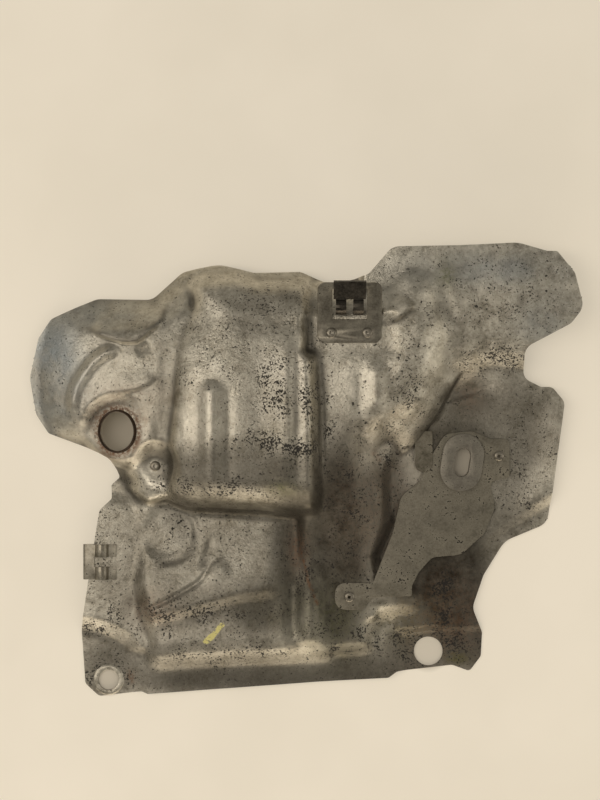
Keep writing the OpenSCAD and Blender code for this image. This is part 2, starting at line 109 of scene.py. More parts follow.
def add_node(tree: Tree, kind: str, inputs: dict | None = None, **settings) -> bpy.types.Node:
    """Add one shader node with its settings, values and links.

    Args:
        tree: the material's or world's node tree.
        kind: the node's type name, without the "ShaderNode" in front.
        inputs: input name or number to a value, or to the output socket that feeds it.
        settings: the node's own properties.

    Returns:
        The new node.
    """
    node = tree.nodes.new("ShaderNode" + kind)
    for name, value in settings.items():
        setattr(node, name, value)
    for name, value in (inputs or {}).items():
        socket = node.inputs[name]
        if isinstance(value, Socket):
            tree.links.new(value, socket)
        else:
            socket.default_value = value
    return node


def deselect() -> None:
    """Deselect every object."""
    for obj in bpy.context.scene.objects:
        obj.select_set(False)


def activate(obj: Solid) -> None:
    """Make one object the only selected and active one."""
    deselect()
    obj.select_set(True)
    bpy.context.view_layer.objects.active = obj


def placed(name: str, data: bpy.types.ID) -> Solid:
    """A new object of this name and data, linked to the scene."""
    obj = bpy.data.objects.new(name, data)
    bpy.context.scene.collection.objects.link(obj)
    return obj


@contextmanager
def edited(mesh: bpy.types.Mesh) -> Iterator[bmesh.types.BMesh]:
    """Lend a mesh out for editing and write it back."""
    work = bmesh.new()
    work.from_mesh(mesh)
    yield work
    work.to_mesh(mesh)
    work.free()


def points_of(obj: Solid) -> Grid:
    """The vertices of an object in m, one row each."""
    co = np.zeros(len(obj.data.vertices) * 3)
    obj.data.vertices.foreach_get("co", co)
    return co.reshape(-1, 3)


def apply_modifiers(obj: Solid) -> None:
    """Apply all modifiers of an object, first to last."""
    activate(obj)
    for name in [modifier.name for modifier in obj.modifiers]:
        bpy.ops.object.modifier_apply(modifier=name)


# ---------------------------------------------------------------- field functions


def smooth(t: Grid) -> Grid:
    """Ease from 0 to 1 with level ends."""
    c = np.clip(t, 0, 1)
    return c * c * (3 - 2 * c)


def mix(a: Grid, b: Grid, share: Grid) -> Grid:
    """Blend from a to b."""
    return a + (b - a) * share


def soft_top(a: Grid, b: Grid, radius: float) -> Grid:
    """The higher of two forms, with a fillet of about this radius where b meets a."""
    reach = np.minimum(radius, np.maximum(b, 1e-6))
    near = np.maximum(0, reach - np.abs(a - b)) / reach
    return np.maximum(a, b) + near * near * reach / 4


def segment_gap(x: Grid, y: Grid, a: tuple, b: tuple) -> Grid:
    """Distance from each point to one segment."""
    dx, dy = b[0] - a[0], b[1] - a[1]
    t = np.clip(((x - a[0]) * dx + (y - a[1]) * dy) / max(dx * dx + dy * dy, 1e-9), 0, 1)
    return np.hypot(x - a[0] - t * dx, y - a[1] - t * dy)


def line_gap(x: Grid, y: Grid, line: Line) -> Grid:
    """Distance from each point to an open line."""
    return np.min([segment_gap(x, y, line[i - 1], line[i]) for i in range(1, len(line))], axis=0)


def line_side(x: Grid, y: Grid, line: Line) -> tuple[Grid, Grid]:
    """Signed distance to an open line, and how far along it the nearest point lies.

    Args:
        x, y: points in mm.
        line: the line's points in mm.

    Returns:
        The distance, positive at the line's left, and the share of its length.
    """
    best, sign, along = np.full(x.shape, 1e9), np.ones(x.shape), np.zeros(x.shape)
    steps = [math.dist(line[i - 1], line[i]) for i in range(1, len(line))]
    total, run = sum(steps), 0.0
    for i, length in enumerate(steps):
        a, b = line[i], line[i + 1]
        dx, dy = b[0] - a[0], b[1] - a[1]
        t = np.clip(((x - a[0]) * dx + (y - a[1]) * dy) / (length * length), 0, 1)
        gap = np.hypot(x - a[0] - t * dx, y - a[1] - t * dy)
        side = np.where(dx * (y - a[1]) - dy * (x - a[0]) >= 0, 1.0, -1.0)
        near = gap < best - 1e-6
        best, sign = np.where(near, gap, best), np.where(near, side, sign)
        along = np.where(near, (run + t * length) / total, along)
        run += length
    return best * sign, along


def curve(points: Line, steps: int = 8) -> Line:
    """A smooth curve through the given points."""
    p = [np.array(point, float) for point in points]
    p = [2 * p[0] - p[1]] + p + [2 * p[-1] - p[-2]]
    out = []
    for i in range(1, len(p) - 2):
        for k in range(steps):
            t = k / steps
            straight = 2 * p[i] + (p[i + 1] - p[i - 1]) * t
            square = (2 * p[i - 1] - 5 * p[i] + 4 * p[i + 1] - p[i + 2]) * t * t
            cube = (3 * p[i] - p[i - 1] - 3 * p[i + 1] + p[i + 2]) * t**3
            out.append(0.5 * (straight + square + cube))
    out.append(p[-2])
    return [tuple(q) for q in out]


def inside(x: Grid, y: Grid, corners: Line) -> Grid:
    """Whether each point lies inside a closed polygon."""
    hit = np.zeros(x.shape, bool)
    for i in range(len(corners)):
        (ax, ay), (bx, by) = corners[i], corners[(i + 1) % len(corners)]
        if ay != by:
            hit ^= ((ay > y) != (by > y)) & (x < ax + (y - ay) * (bx - ax) / (by - ay))
    return hit


def region(x: Grid, y: Grid, corners: Line, wall: float) -> Grid:
    """1 inside a polygon and 0 outside it, with a wall of this width along its edge."""
    return smooth(0.5 + signed_gap(x, y, corners) / wall)


def signed_gap(x: Grid, y: Grid, corners: Line) -> Grid:
    """Distance to a polygon's edge in mm, positive inside it."""
    gap = line_gap(x, y, list(corners) + [corners[0]])
    return np.where(inside(x, y, corners), gap, -gap)


def bead(x: Grid, y: Grid, line: Line, width: float, height: float, taper: float = 0.0) -> Grid:
    """A rounded bead along a line, running out at its ends over the taper's share of its length."""
    gap, along = line_side(x, y, line)
    form = height * smooth(1 - np.abs(gap) / (width / 2))
    if taper:
        form = form * smooth(along / taper) * smooth((1 - along) / taper)
    return form


def fold(x: Grid, y: Grid, line: Line, steep: float, gentle: float, height: float,
    taper: float = 0.15) -> Grid:
    """A lapped fold: rises gently from the line's left up to the line and drops at its right."""
    gap, along = line_side(x, y, line)
    form = np.where(gap >= 0, smooth(1 - gap / gentle), smooth(1 + gap / steep))
    return height * form * smooth(along / taper) * smooth((1 - along) / taper)


def disc(x: Grid, y: Grid, centre: tuple, radius: float, wall: float) -> Grid:
    """1 inside a circle, falling to 0 over the wall outside it."""
    return smooth(1 - (np.hypot(x - centre[0], y - centre[1]) - radius) / wall)


def plate(x: Grid, y: Grid, centre: tuple, size: tuple, wall: float) -> Grid:
    """1 on a rectangle, falling to 0 over the wall round it."""
    dx = np.maximum(0, np.abs(x - centre[0]) - size[0] / 2)
    dy = np.maximum(0, np.abs(y - centre[1]) - size[1] / 2)
    return smooth(1 - np.hypot(dx, dy) / wall)


def blur(z: Grid, sigma: float, step: float) -> Grid:
    """Soften a field, sigma and grid step in mm."""
    reach = max(1, int(3 * sigma / step))
    kernel = np.exp(-0.5 * (np.arange(-reach, reach + 1) * step / sigma) ** 2)
    kernel /= kernel.sum()
    out = np.pad(z, reach, mode="edge")
    out = np.apply_along_axis(lambda v: np.convolve(v, kernel, "valid"), 0, out)
    return np.apply_along_axis(lambda v: np.convolve(v, kernel, "valid"), 1, out)


def dents(x: Grid, y: Grid, cell: float, seed: int) -> Grid:
    """Seeded smooth noise from -1 to 1 with this cell size in mm."""
    table = np.random.RandomState(seed).rand(64, 64) * 2 - 1
    u, v = (x + 400) / cell, (y + 400) / cell
    i, j = np.floor(u).astype(int), np.floor(v).astype(int)
    a, b = smooth(u - i), smooth(v - j)

    def at(p: Grid, q: Grid) -> Grid:
        """The table's value, repeated past its edge."""
        return table[p % 64, q % 64]

    return mix(mix(at(i, j), at(i + 1, j), a), mix(at(i, j + 1), at(i + 1, j + 1), a), b)


def rounded(corners: list[tuple[float, float, float]], steps: int = 6) -> Line:
    """A closed outline whose corners are rounded, each by its own radius.

    Args:
        corners: x, y and radius in mm.
        steps: points on each arc.

    Returns:
        The outline's points.
    """
    out, n = [], len(corners)
    for k in range(n):
        p, a, b = (np.array(corners[(k + d) % n][:2]) for d in (0, -1, 1))
        u, v = (a - p) / np.linalg.norm(a - p), (b - p) / np.linalg.norm(b - p)
        half = math.acos(float(np.clip(u @ v, -1, 1))) / 2
        radius = corners[k][2]
        if radius <= 0 or half > math.radians(89.5):
            out.append(tuple(p))
            continue
        reach = min(radius / math.tan(half), 0.48 * np.linalg.norm(a - p), 0.48 * np.linalg.norm(b - p))
        radius = reach * math.tan(half)
        centre = p + (u + v) / np.linalg.norm(u + v) * (radius / math.sin(half))
        start, end = p + u * reach - centre, p + v * reach - centre
        turn = math.atan2(start[0] * end[1] - start[1] * end[0], float(start @ end))
        for i in range(steps + 1):
            t = turn * i / steps
            c, s = math.cos(t), math.sin(t)
            out.append((centre[0] + c * start[0] - s * start[1], centre[1] + s * start[0] + c * start[1]))
    return out

# ---------------------------------------------------------------- the pressed form


@dataclass(frozen=True)
class Side:
    """One side of a raised form: its foot line, and the share of the height at distances from it.

    Fields:
        foot: the line's points in mm.
        rise: pairs of distance in mm and share of the full height, or nothing where the side has no wall.
    """

    foot: Line
    rise: tuple = ()


def share(x: Grid, y: Grid, sides: list[Side]) -> Grid:
    """Share of the full height of a raised form, 0 outside its foot lines.

    Args:
        x, y: points in mm.
        sides: the sides in order, which close into a polygon.

    Returns:
        The product of the sides' rises.
    """
    corners = [point for side in sides for point in side.foot[:-1]]
    out = np.ones(x.shape)
    for side in sides:
        if side.rise:
            steps, shares = zip(*side.rise)
            out = out * np.interp(line_gap(x, y, side.foot), steps, shares)
    return np.where(inside(x, y, corners), out, 0.0)


@dataclass
class PressedForm:
    """The height of the sheet's hidden face over the fixing faces, in mm."""

    flange: float = 3.0
    clip_flange: float = 8.0
    side_panel: float = 8.0
    collar_seat: float = 4.0
    wing: float = 27.0
    shelf: float = 10.0
    lower_field: float = 14.0
    foot_field: float = 16.0
    ear: float = 38.0
    right_crown: float = 38.0
    left_crown: float = 56.0
    bead_width: float = 24.0
    bead_height: float = 4.6
    collar_ground: tuple = (
        (67, 4), (90, 18), (104, 33), (118, 46), (139, 40), (150, 37), (176, 37), (178, 6), (168, -14),
        (160, -40), (140, -64), (112, -76), (97, -88), (60, -85), (54, -68), (66, -40),
    )

    def forms(self, x: Grid, y: Grid, step: float) -> Grid:
        """The large pressed forms, joined with fillets.

        Args:
            x, y: points in mm.
            step: the grid's spacing in mm.

        Returns:
            The height in mm.
        """
        z = self.flange * (1 - 0.9 * smooth((x - 130) / 30))
        clip_flange = [
            Side([(-195.5, -7.5), (-154, -12), (-132.5, -17)],
            ((0, 0), (6, 0.45), (12, 0.75), (20, 0.92), (32, 1))),
            Side([(-132.5, -17), (-115.5, -23.5), (-115.5, -143.5), (-195.5, -143.5), (-195.5, -7.5)]),
        ]
        z = soft_top(z, self.clip_flange * share(x, y, clip_flange), 1)
        side_panel = [
            Side([(72.5, 40.5), (244.5, 96.5), (244.5, -23.5)]),
            Side(
                [(244.5, -23.5), (201.5, -30), (187, -38), (172.5, -48), (156.5, -59.5), (139, -71.5),
                (126, -87.5), (120.5, -103.5), (118, -126)],
                ((0, 0), (4, 0.08), (13, 0.9), (18, 1)),
            ),
            Side([(118, -126), (72.5, -126), (72.5, 40.5)]),
        ]
        level = self.collar_seat + (self.side_panel - self.collar_seat) * smooth(self.collar_gap(x, y) / 26)
        z = soft_top(z, level * share(x, y, side_panel), 1)
        wing = [
            Side([(38, 216.5), (44.5, 136.5), (92.5, 72.5), (126, 66)]),
            Side([(126, 66), (147, 72.5), (180.5, 71), (252.5, 74)],
            ((0, 0), (5, 0.24), (12, 0.44), (22, 0.74), (34, 0.93), (50, 1))),
            Side([(252.5, 76), (252.5, 216.5), (38, 216.5)]),
        ]
        level = self.wing + 3 * smooth((140 - x) / 40) - 4 * smooth((x - 150) / 70)
        level = level + 1.5 * dents(x, y, 60, 3)
        z = soft_top(z, level * share(x, y, wing), 2)
        shelf = [
            Side([(100.5, 112.5), (204.5, 112.5), (204.5, 40.5), (175.5, 31)]),
            Side([(175.5, 31), (160.5, 32), (147, 36), (135.5, 45.5), (126, 55)],
            ((0, 0), (4, 0.12), (12, 0.45), (32, 1))),
            Side([(126, 55), (100.5, 112.5)]),
        ]
        level = self.shelf - 3 * smooth((x - 150) / 50)
        z = soft_top(z, level * share(x, y, shelf), 2)
        lower_field = [
            Side([(-139.5, -23.5), (-139.5, -91.5), (-134, -113), (-129, -135.5), (-126.5, -183.5)],
            ((0, 0), (5, 0.5), (13, 0.95), (18, 1))),
            Side([(-126.5, -183.5), (-83.5, -180), (20.5, -175.5)],
            ((0, 0), (23, 0.18), (36, 0.86), (46, 1))),
            Side([(20.5, -175.5), (20.5, 24.5), (-115.5, 24.5), (-139.5, -23.5)]),
        ]
        crest = np.interp(x, [-131, -88, -47, -27, -3], [-115, -104, -93, -91, -93])
        slope = np.interp(crest - y, [-65, -56, -4, 0, 3, 10, 16, 50],
            [11, 12, 22.8, 23.4, 22.4, 17.6, 17, 19])
        plain = np.interp(y, [-150, -107, -38], [19.5, 19, 12])
        level = mix(slope, plain, smooth((x + 30) / 18))
        z = soft_top(z, level * share(x, y, lower_field), 2)
        foot_field = [
            Side([(12.5, 32.5), (76.5, 32.5), (76.5, -55.5), (79.5, -81)],
            ((0, 0), (3, 0.4), (7, 0.8), (11, 0.95), (18, 1))),
            Side([(79.5, -81), (95.5, -94), (98, -108), (93.5, -127.5)],
            ((0, 0), (4, 0.4), (9, 0.85), (14, 1))),
            Side([(93.5, -127.5), (67, -127.5)], ((0, 0), (5, 0.12), (12, 0.42), (21, 0.93), (27, 1))),
            Side([(67, -127.5), (60.5, -133), (55.5, -175.5)], ((0, 0), (3, 0.35), (8, 0.88), (12, 1))),
            Side([(55, -175.5), (12.5, -178.5)], ((0, 0), (29, 0.2), (40, 0.92), (47, 1))),
            Side([(12.5, -178.5), (12.5, 32.5)]),
        ]
        z = soft_top(z, self.foot_field * share(x, y, foot_field), 2)
        ear = [
            Side([(-227.5, 72.5), (-221, 108.5), (-206.5, 130), (-165, 143)]),
            Side([(-165, 143), (-123.5, 146), (-91.5, 172)], ((0, 0), (8, 0.3), (20, 0.75), (34, 1))),
            Side([(-91.5, 172), (-83.5, -15.5), (-123.5, -25), (-144.5, -10.5)]),
            Side(
                [(-144.5, -10.5), (-157, 7), (-179.5, 16.5), (-206.5, 24.5),
                (-224.5, 45.5), (-227.5, 72.5)],
                ((0, 0), (5, 0.3), (12, 0.7), (24, 1)),
            ),
        ]
        level = np.maximum(0, self.ear * (1 - (np.hypot(x + 100, (y - 66) * 0.92) / 118) ** 2.4))
        z = soft_top(z, level * share(x, y, ear), 2)
        right_barrel = [
            Side(
                [(-3.5, 159), (32.5, 154), (54, 159), (70, 176.5), (108.5, 180)],
                ((0, 0), (6, 0.35), (12, 0.6), (22, 0.85), (36, 1)),
            ),
            Side([(108.5, 180), (113.5, 136.5), (126, 106), (125.5, 80.5)],
            ((0, 0), (4, 0.4), (10, 0.75), (18, 0.92), (30, 1))),
            Side(
                [(125.5, 80.5), (114, 60), (107, 46), (99, 36.5), (88.5, 23), (79.5, 16.5), (71, 12.5)],
                ((0, 0), (1.5, 0.2), (8, 0.42), (18, 0.68), (30, 0.88), (44, 1)),
            ),
            Side(
                [(71, 12.5), (74, -7.5), (74, -48), (68.5, -68), (63.5, -87.5)],
                ((0, 0), (4, 0.3), (10, 0.66), (20, 0.86), (36, 1)),
            ),
            Side([(63.5, -87.5), (15.5, -111.5), (-3.5, -71.5), (-3.5, 159)]),
        ]
        bulge = np.exp(-(((x - 98) / 24) ** 2) - ((y - 64) / 34) ** 2)
        level = self.right_crown - 24.5 * smooth((25 - y) / 115) + 6 * bulge + 0.6 * smooth((x - 16) / 22)
        z = soft_top(z, level * share(x, y, right_barrel), 2)
        left_barrel = [
            Side(
                [(-115.5, -29), (-113, -7.5), (-114, 24.5), (-111.5, 56.5), (-110, 96.5),
                (-107.5, 120.5), (-105, 136.5)],
                ((0, 0), (6, 0.55), (12, 0.8), (20, 0.9), (30, 0.965), (45, 1)),
            ),
            Side(
                [(-105, 136.5), (-104.5, 156), (-86.5, 167), (-53, 170), (-34, 164),
                (-1, 164.5), (11.5, 167)],
                ((0, 0), (4, 0.25), (9, 0.38), (12.5, 0.42), (14.5, 0.56), (17.5, 0.6), (19.5, 0.72),
                (26, 0.84), (40, 0.95), (60, 1)),
            ),
            Side(
                [(11.5, 167), (13.5, 128.5), (16.5, 104.5), (19, 56.5), (19.5, -23.5), (19.5, -42.5)],
                ((0, 0), (4, 0.44), (8, 0.71), (14, 0.96), (17, 1)),
            ),
            Side(
                [(19.5, -42.5), (-12.5, -40), (-38, -37), (-67.5, -35.5), (-91.5, -34), (-115.5, -29)],
                ((0, 0), (6, 0.36), (12, 0.70), (17, 0.82), (22, 0.905), (28, 0.975), (34, 0.995), (44, 1)),
            ),
        ]
        level = self.left_crown - 9 * smooth((y - 20) / 150) + self.barrel_ribs(x, y)
        z = soft_top(z, level * share(x, y, left_barrel), 2)
        return blur(z, 2.0, step)

    def collar_gap(self, x: Grid, y: Grid) -> Grid:
        """Distance from the level ground under the collar and the stay, 0 on it."""
        return np.maximum(0.0, -signed_gap(x, y, self.collar_ground))

    def barrel_ribs(self, x: Grid, y: Grid) -> Grid:
        """The two one-sided ribs down the right of the left barrel."""
        inner = np.interp(x, [-51.5, -34, -23.5, -13, -9, -6.5, -4], [0, -0.6, 1.6, 4.6, 2.2, 0.4, 0])
        outer = np.interp(x, [-8.5, -4.5, 5.5, 8.5, 20.5], [0, 1.0, 4.4, 4.6, 4.6])
        inner = inner * smooth((114 - y) / 24) * smooth((y + 20) / 13)
        outer = outer * smooth((136 - y) / 24) * smooth((y + 36) / 13)
        return inner + outer

    def beads(self, x: Grid, y: Grid, step: float) -> Grid:
        """The straight beads, each with a slight groove along its right foot."""
        w, h = self.bead_width, self.bead_height
        z = bead(x, y, [(3.5, -20), (4.5, -71.5), (4.5, -140)], w, 5, 0.06)
        z = z + bead(x, y, [(-72.5, 62), (-72.5, -15.5)], w, h)
        z = z - bead(x, y, [(-58.5, 69.5), (-58.5, -14)], 9, 0.9, 0.1)
        z = z + bead(x, y, [(55.5, 77.5), (56.5, 0.5), (58, -65)], w, 0.74 * h)
        z = z - bead(x, y, [(42, 84), (42.5, -71.5)], 8, 0.8, 0.1)
        z = z - bead(x, y, [(-10, -79.5), (-10, -135.5)], 16, 3.0, 0.2)
        return blur(z, 1.6, step)

    def folds(self, x: Grid, y: Grid, step: float) -> Grid:
        """The lapped folds, creases and grooves of the drawn sheet."""
        z = fold(x, y,
            curve([(-170, 112), (-161, 108.5), (-150, 104.5), (-138, 102), (-129, 104), (-121, 111),
            (-112.5, 117.5), (-109, 129.5)]), 2.5, 20, 4.0)
        z = z + bead(x, y,
            curve([(-141, 97.5), (-154, 94), (-164.5, 87), (-172.5, 77.5), (-179.5, 66), (-182, 53.5),
            (-180.5, 40.5)]), 15, 4.2, 0.2)
        z = z + fold(x, y, curve([(-149, 61.5), (-139.5, 64), (-130, 66), (-122, 70), (-114, 77.5)]),
            2.5, 16, 1.7, 0.3)
        z = z - bead(x, y, curve([(-133, 93.5), (-126.5, 96.5), (-119.5, 100.5)]), 16, 1.8, 0.3)
        z = z - bead(x, y,
            curve([(-132.5, -114.5), (-118.5, -106.5), (-105, -99.5), (-93, -93), (-82.5, -86), (-77, -78),
            (-73, -70.5), (-65, -66)]), 6, 1.8, 0.25)
        dish = np.hypot(x + 109, y + 49)
        z = z - 2.0 * smooth((24 - dish) / 9)
        z = z - 1.6 * smooth(1 - np.abs(dish - 23) / 5) * smooth((x + 121) / 18)
        z = z - bead(x, y, curve([(-74, -50.5), (-76.5, -64), (-83.5, -78)]), 8, 1.5, 0.3)
        z = z + bead(x, y, curve([(-80.5, -87.5), (-70.5, -80), (-58, -73)]), 26, 1.8, 0.35)
        z = z + fold(x, y, curve([(59, 116.5), (67, 118), (76.5, 123), (86, 132)]), 2.5, 16, 3.0)
        z = z + fold(x, y,
            curve([(71, 13.5), (79.5, 16.5), (88.5, 23), (99, 36.5), (107, 46), (114, 60), (119.5, 72.5),
            (124.5, 80.5)]), 2.0, 14, 2.6)
        z = z - bead(x, y, curve([(108.5, 159), (108.5, 143), (114, 127), (123.5, 112)]), 20, 1.5, 0.3)
        return blur(z, 0.7, step)

    def wobble(self, x: Grid, y: Grid) -> Grid:
        """The ripples of the right bulge, and the slight dents all over."""
        near = np.exp(-(((x - 83) / 16) ** 2) - ((y - 63) / 34) ** 2)
        ripples = 0.9 * np.sin((y - 113) / 4.3 + 0.03 * x) * near
        near = plate(x, y, (-172, -72), (60, 60), 30)
        for centre in ((-156.5, -167), (99, -144), (35, 108), (35, -99), (-146.5, 32)):
            near = np.maximum(near, disc(x, y, centre, 20, 25))
        near = np.maximum(near, smooth(1 - self.collar_gap(x, y) / 20))
        slight = 0.55 * dents(x, y, 34, 5) + 0.35 * dents(x, y, 19, 6) + 0.8 * dents(x, y, 62, 7)
        return ripples + slight * (1 - near)

    def seats(self, z: Grid, x: Grid, y: Grid) -> Grid:
        """Level the places where holes, rivets, clips and the collar seat."""
        sensor = (-146.5, 32.0)
        z = mix(z, 27 + (x - sensor[0]) * math.tan(math.radians(24)), disc(x, y, sensor, 20.5, 12))
        z = mix(z, 22, disc(x, y, (-117.5, 4.5), 5.5, 17))
        z = mix(z, 37, plate(x, y, (35, 108), (58, 20), 12))
        z = mix(z, self.collar_seat, region(x, y, list(self.collar_ground), 12))
        z = mix(z, 16, plate(x, y, (35.5, -99), (34, 28), 8))
        z = mix(z, 8, plate(x, y, (-172, -72), (54, 36), 8))
        left_pad = [(-195.5, -122), (-176.5, -122.5), (-162.5, -125), (-150, -130), (-141, -135.5),
            (-134.5, -143.5), (-132.5, -154.5), (-131.5, -199.5), (-195.5, -199.5)]
        z = mix(z, 0, np.interp(signed_gap(x, y, left_pad), [-9, -7, 5, 9], [0, 0.05, 0.93, 1]))
        right_pad = [(78, -183.5), (78, -132), (91, -129), (99, -126), (111.5, -126.5),
            (156.5, -126.5), (156.5, -183.5)]
        return mix(z, 0, region(x, y, right_pad, 9))

    def height(self, x: Grid, y: Grid, step: float) -> Grid:
        """Height of the sheet's hidden face at each point of a grid."""
        z = self.forms(x, y, step) + self.beads(x, y, step) + self.folds(x, y, step) + self.wobble(x, y)
        return np.maximum(0, self.seats(z, x, y))


def turned(name: str, profile: list, centre: tuple, tilt: float = 0.0, steps: int = 96) -> Solid:
    """A ring turned from a closed profile.

    Args:
        name: the new object's name.
        profile: radius and height pairs in mm, counter-clockwise.
        centre: the ring's place in mm.
        tilt: lean of its axis to the left in degrees.
        steps: facets round it.

    Returns:
        The ring.
    """
    c, s = math.cos(math.radians(tilt)), math.sin(math.radians(tilt))
    verts, faces, n = [], [], len(profile)
    for k in range(steps):
        t = 2 * math.pi * k / steps
        for r, z in profile:
            x, y = r * math.cos(t), r * math.sin(t)
            verts.append(tuple(v * MM for v in (centre[0] + c * x - s * z, centre[1] + y,
                centre[2] + s * x + c * z)))
        for i in range(n):
            a, b, j = k * n, (k + 1) % steps * n, (i + 1) % n
            faces.append((a + i, b + i, b + j, a + j))
    return solid_object(name, verts, faces)


def slab(name: str, outline: Line, low: float, high: float, bevel: float = 0.25) -> Solid:
    """A flat plate with broken edges: outline, underside and top in mm."""
    n = len(outline)
    verts = [(x * MM, y * MM, z * MM) for z in (low, high) for x, y in outline]
    faces = [tuple(range(n))[::-1], tuple(range(n, 2 * n))]
    faces += [(i, (i + 1) % n, n + (i + 1) % n, n + i) for i in range(n)]
    obj = solid_object(name, verts, faces)
    break_edges(obj, bevel)
    return obj


def break_edges(obj: Solid, width: float) -> None:
    """Bevel an object's sharp edges by this width in mm."""
    edge = obj.modifiers.new("broken_edge", "BEVEL")
    edge.width, edge.segments, edge.limit_method = width * MM, 2, "ANGLE"
    edge.angle_limit = math.radians(38)
    apply_modifiers(obj)


def solid_object(name: str, verts: list, faces: list) -> Solid:
    """A new object with this mesh, its normals outward and its curves smooth."""
    mesh = bpy.data.meshes.new(name)
    mesh.from_pydata(verts, [], faces)
    with edited(mesh) as work:
        bmesh.ops.recalc_face_normals(work, faces=work.faces)
    obj = placed(name, mesh)
    activate(obj)
    bpy.ops.object.shade_smooth_by_angle(angle=math.radians(35))
    return obj


class Mark(Enum):
    """A kind of mark or painted shade on the sheet, kept as a vertex attribute of that name."""

    # Painted shade in the form's hollows.
    HOLLOW_SHADE = "hollow_shade"
    PITS = "pits"
    STAIN = "stain"
    GREEN = "green"
    BLUE = "blue"
    # Painted shade and painted shadows along folds, creases and round the parts, in a soot tone.
    SHADE_AND_SOOT = "shade_and_soot"
    RUST = "rust"
    DAUB = "daub"
    # A dark film, partly painted shade.
    FILM_AND_SHADE = "film_and_shade"


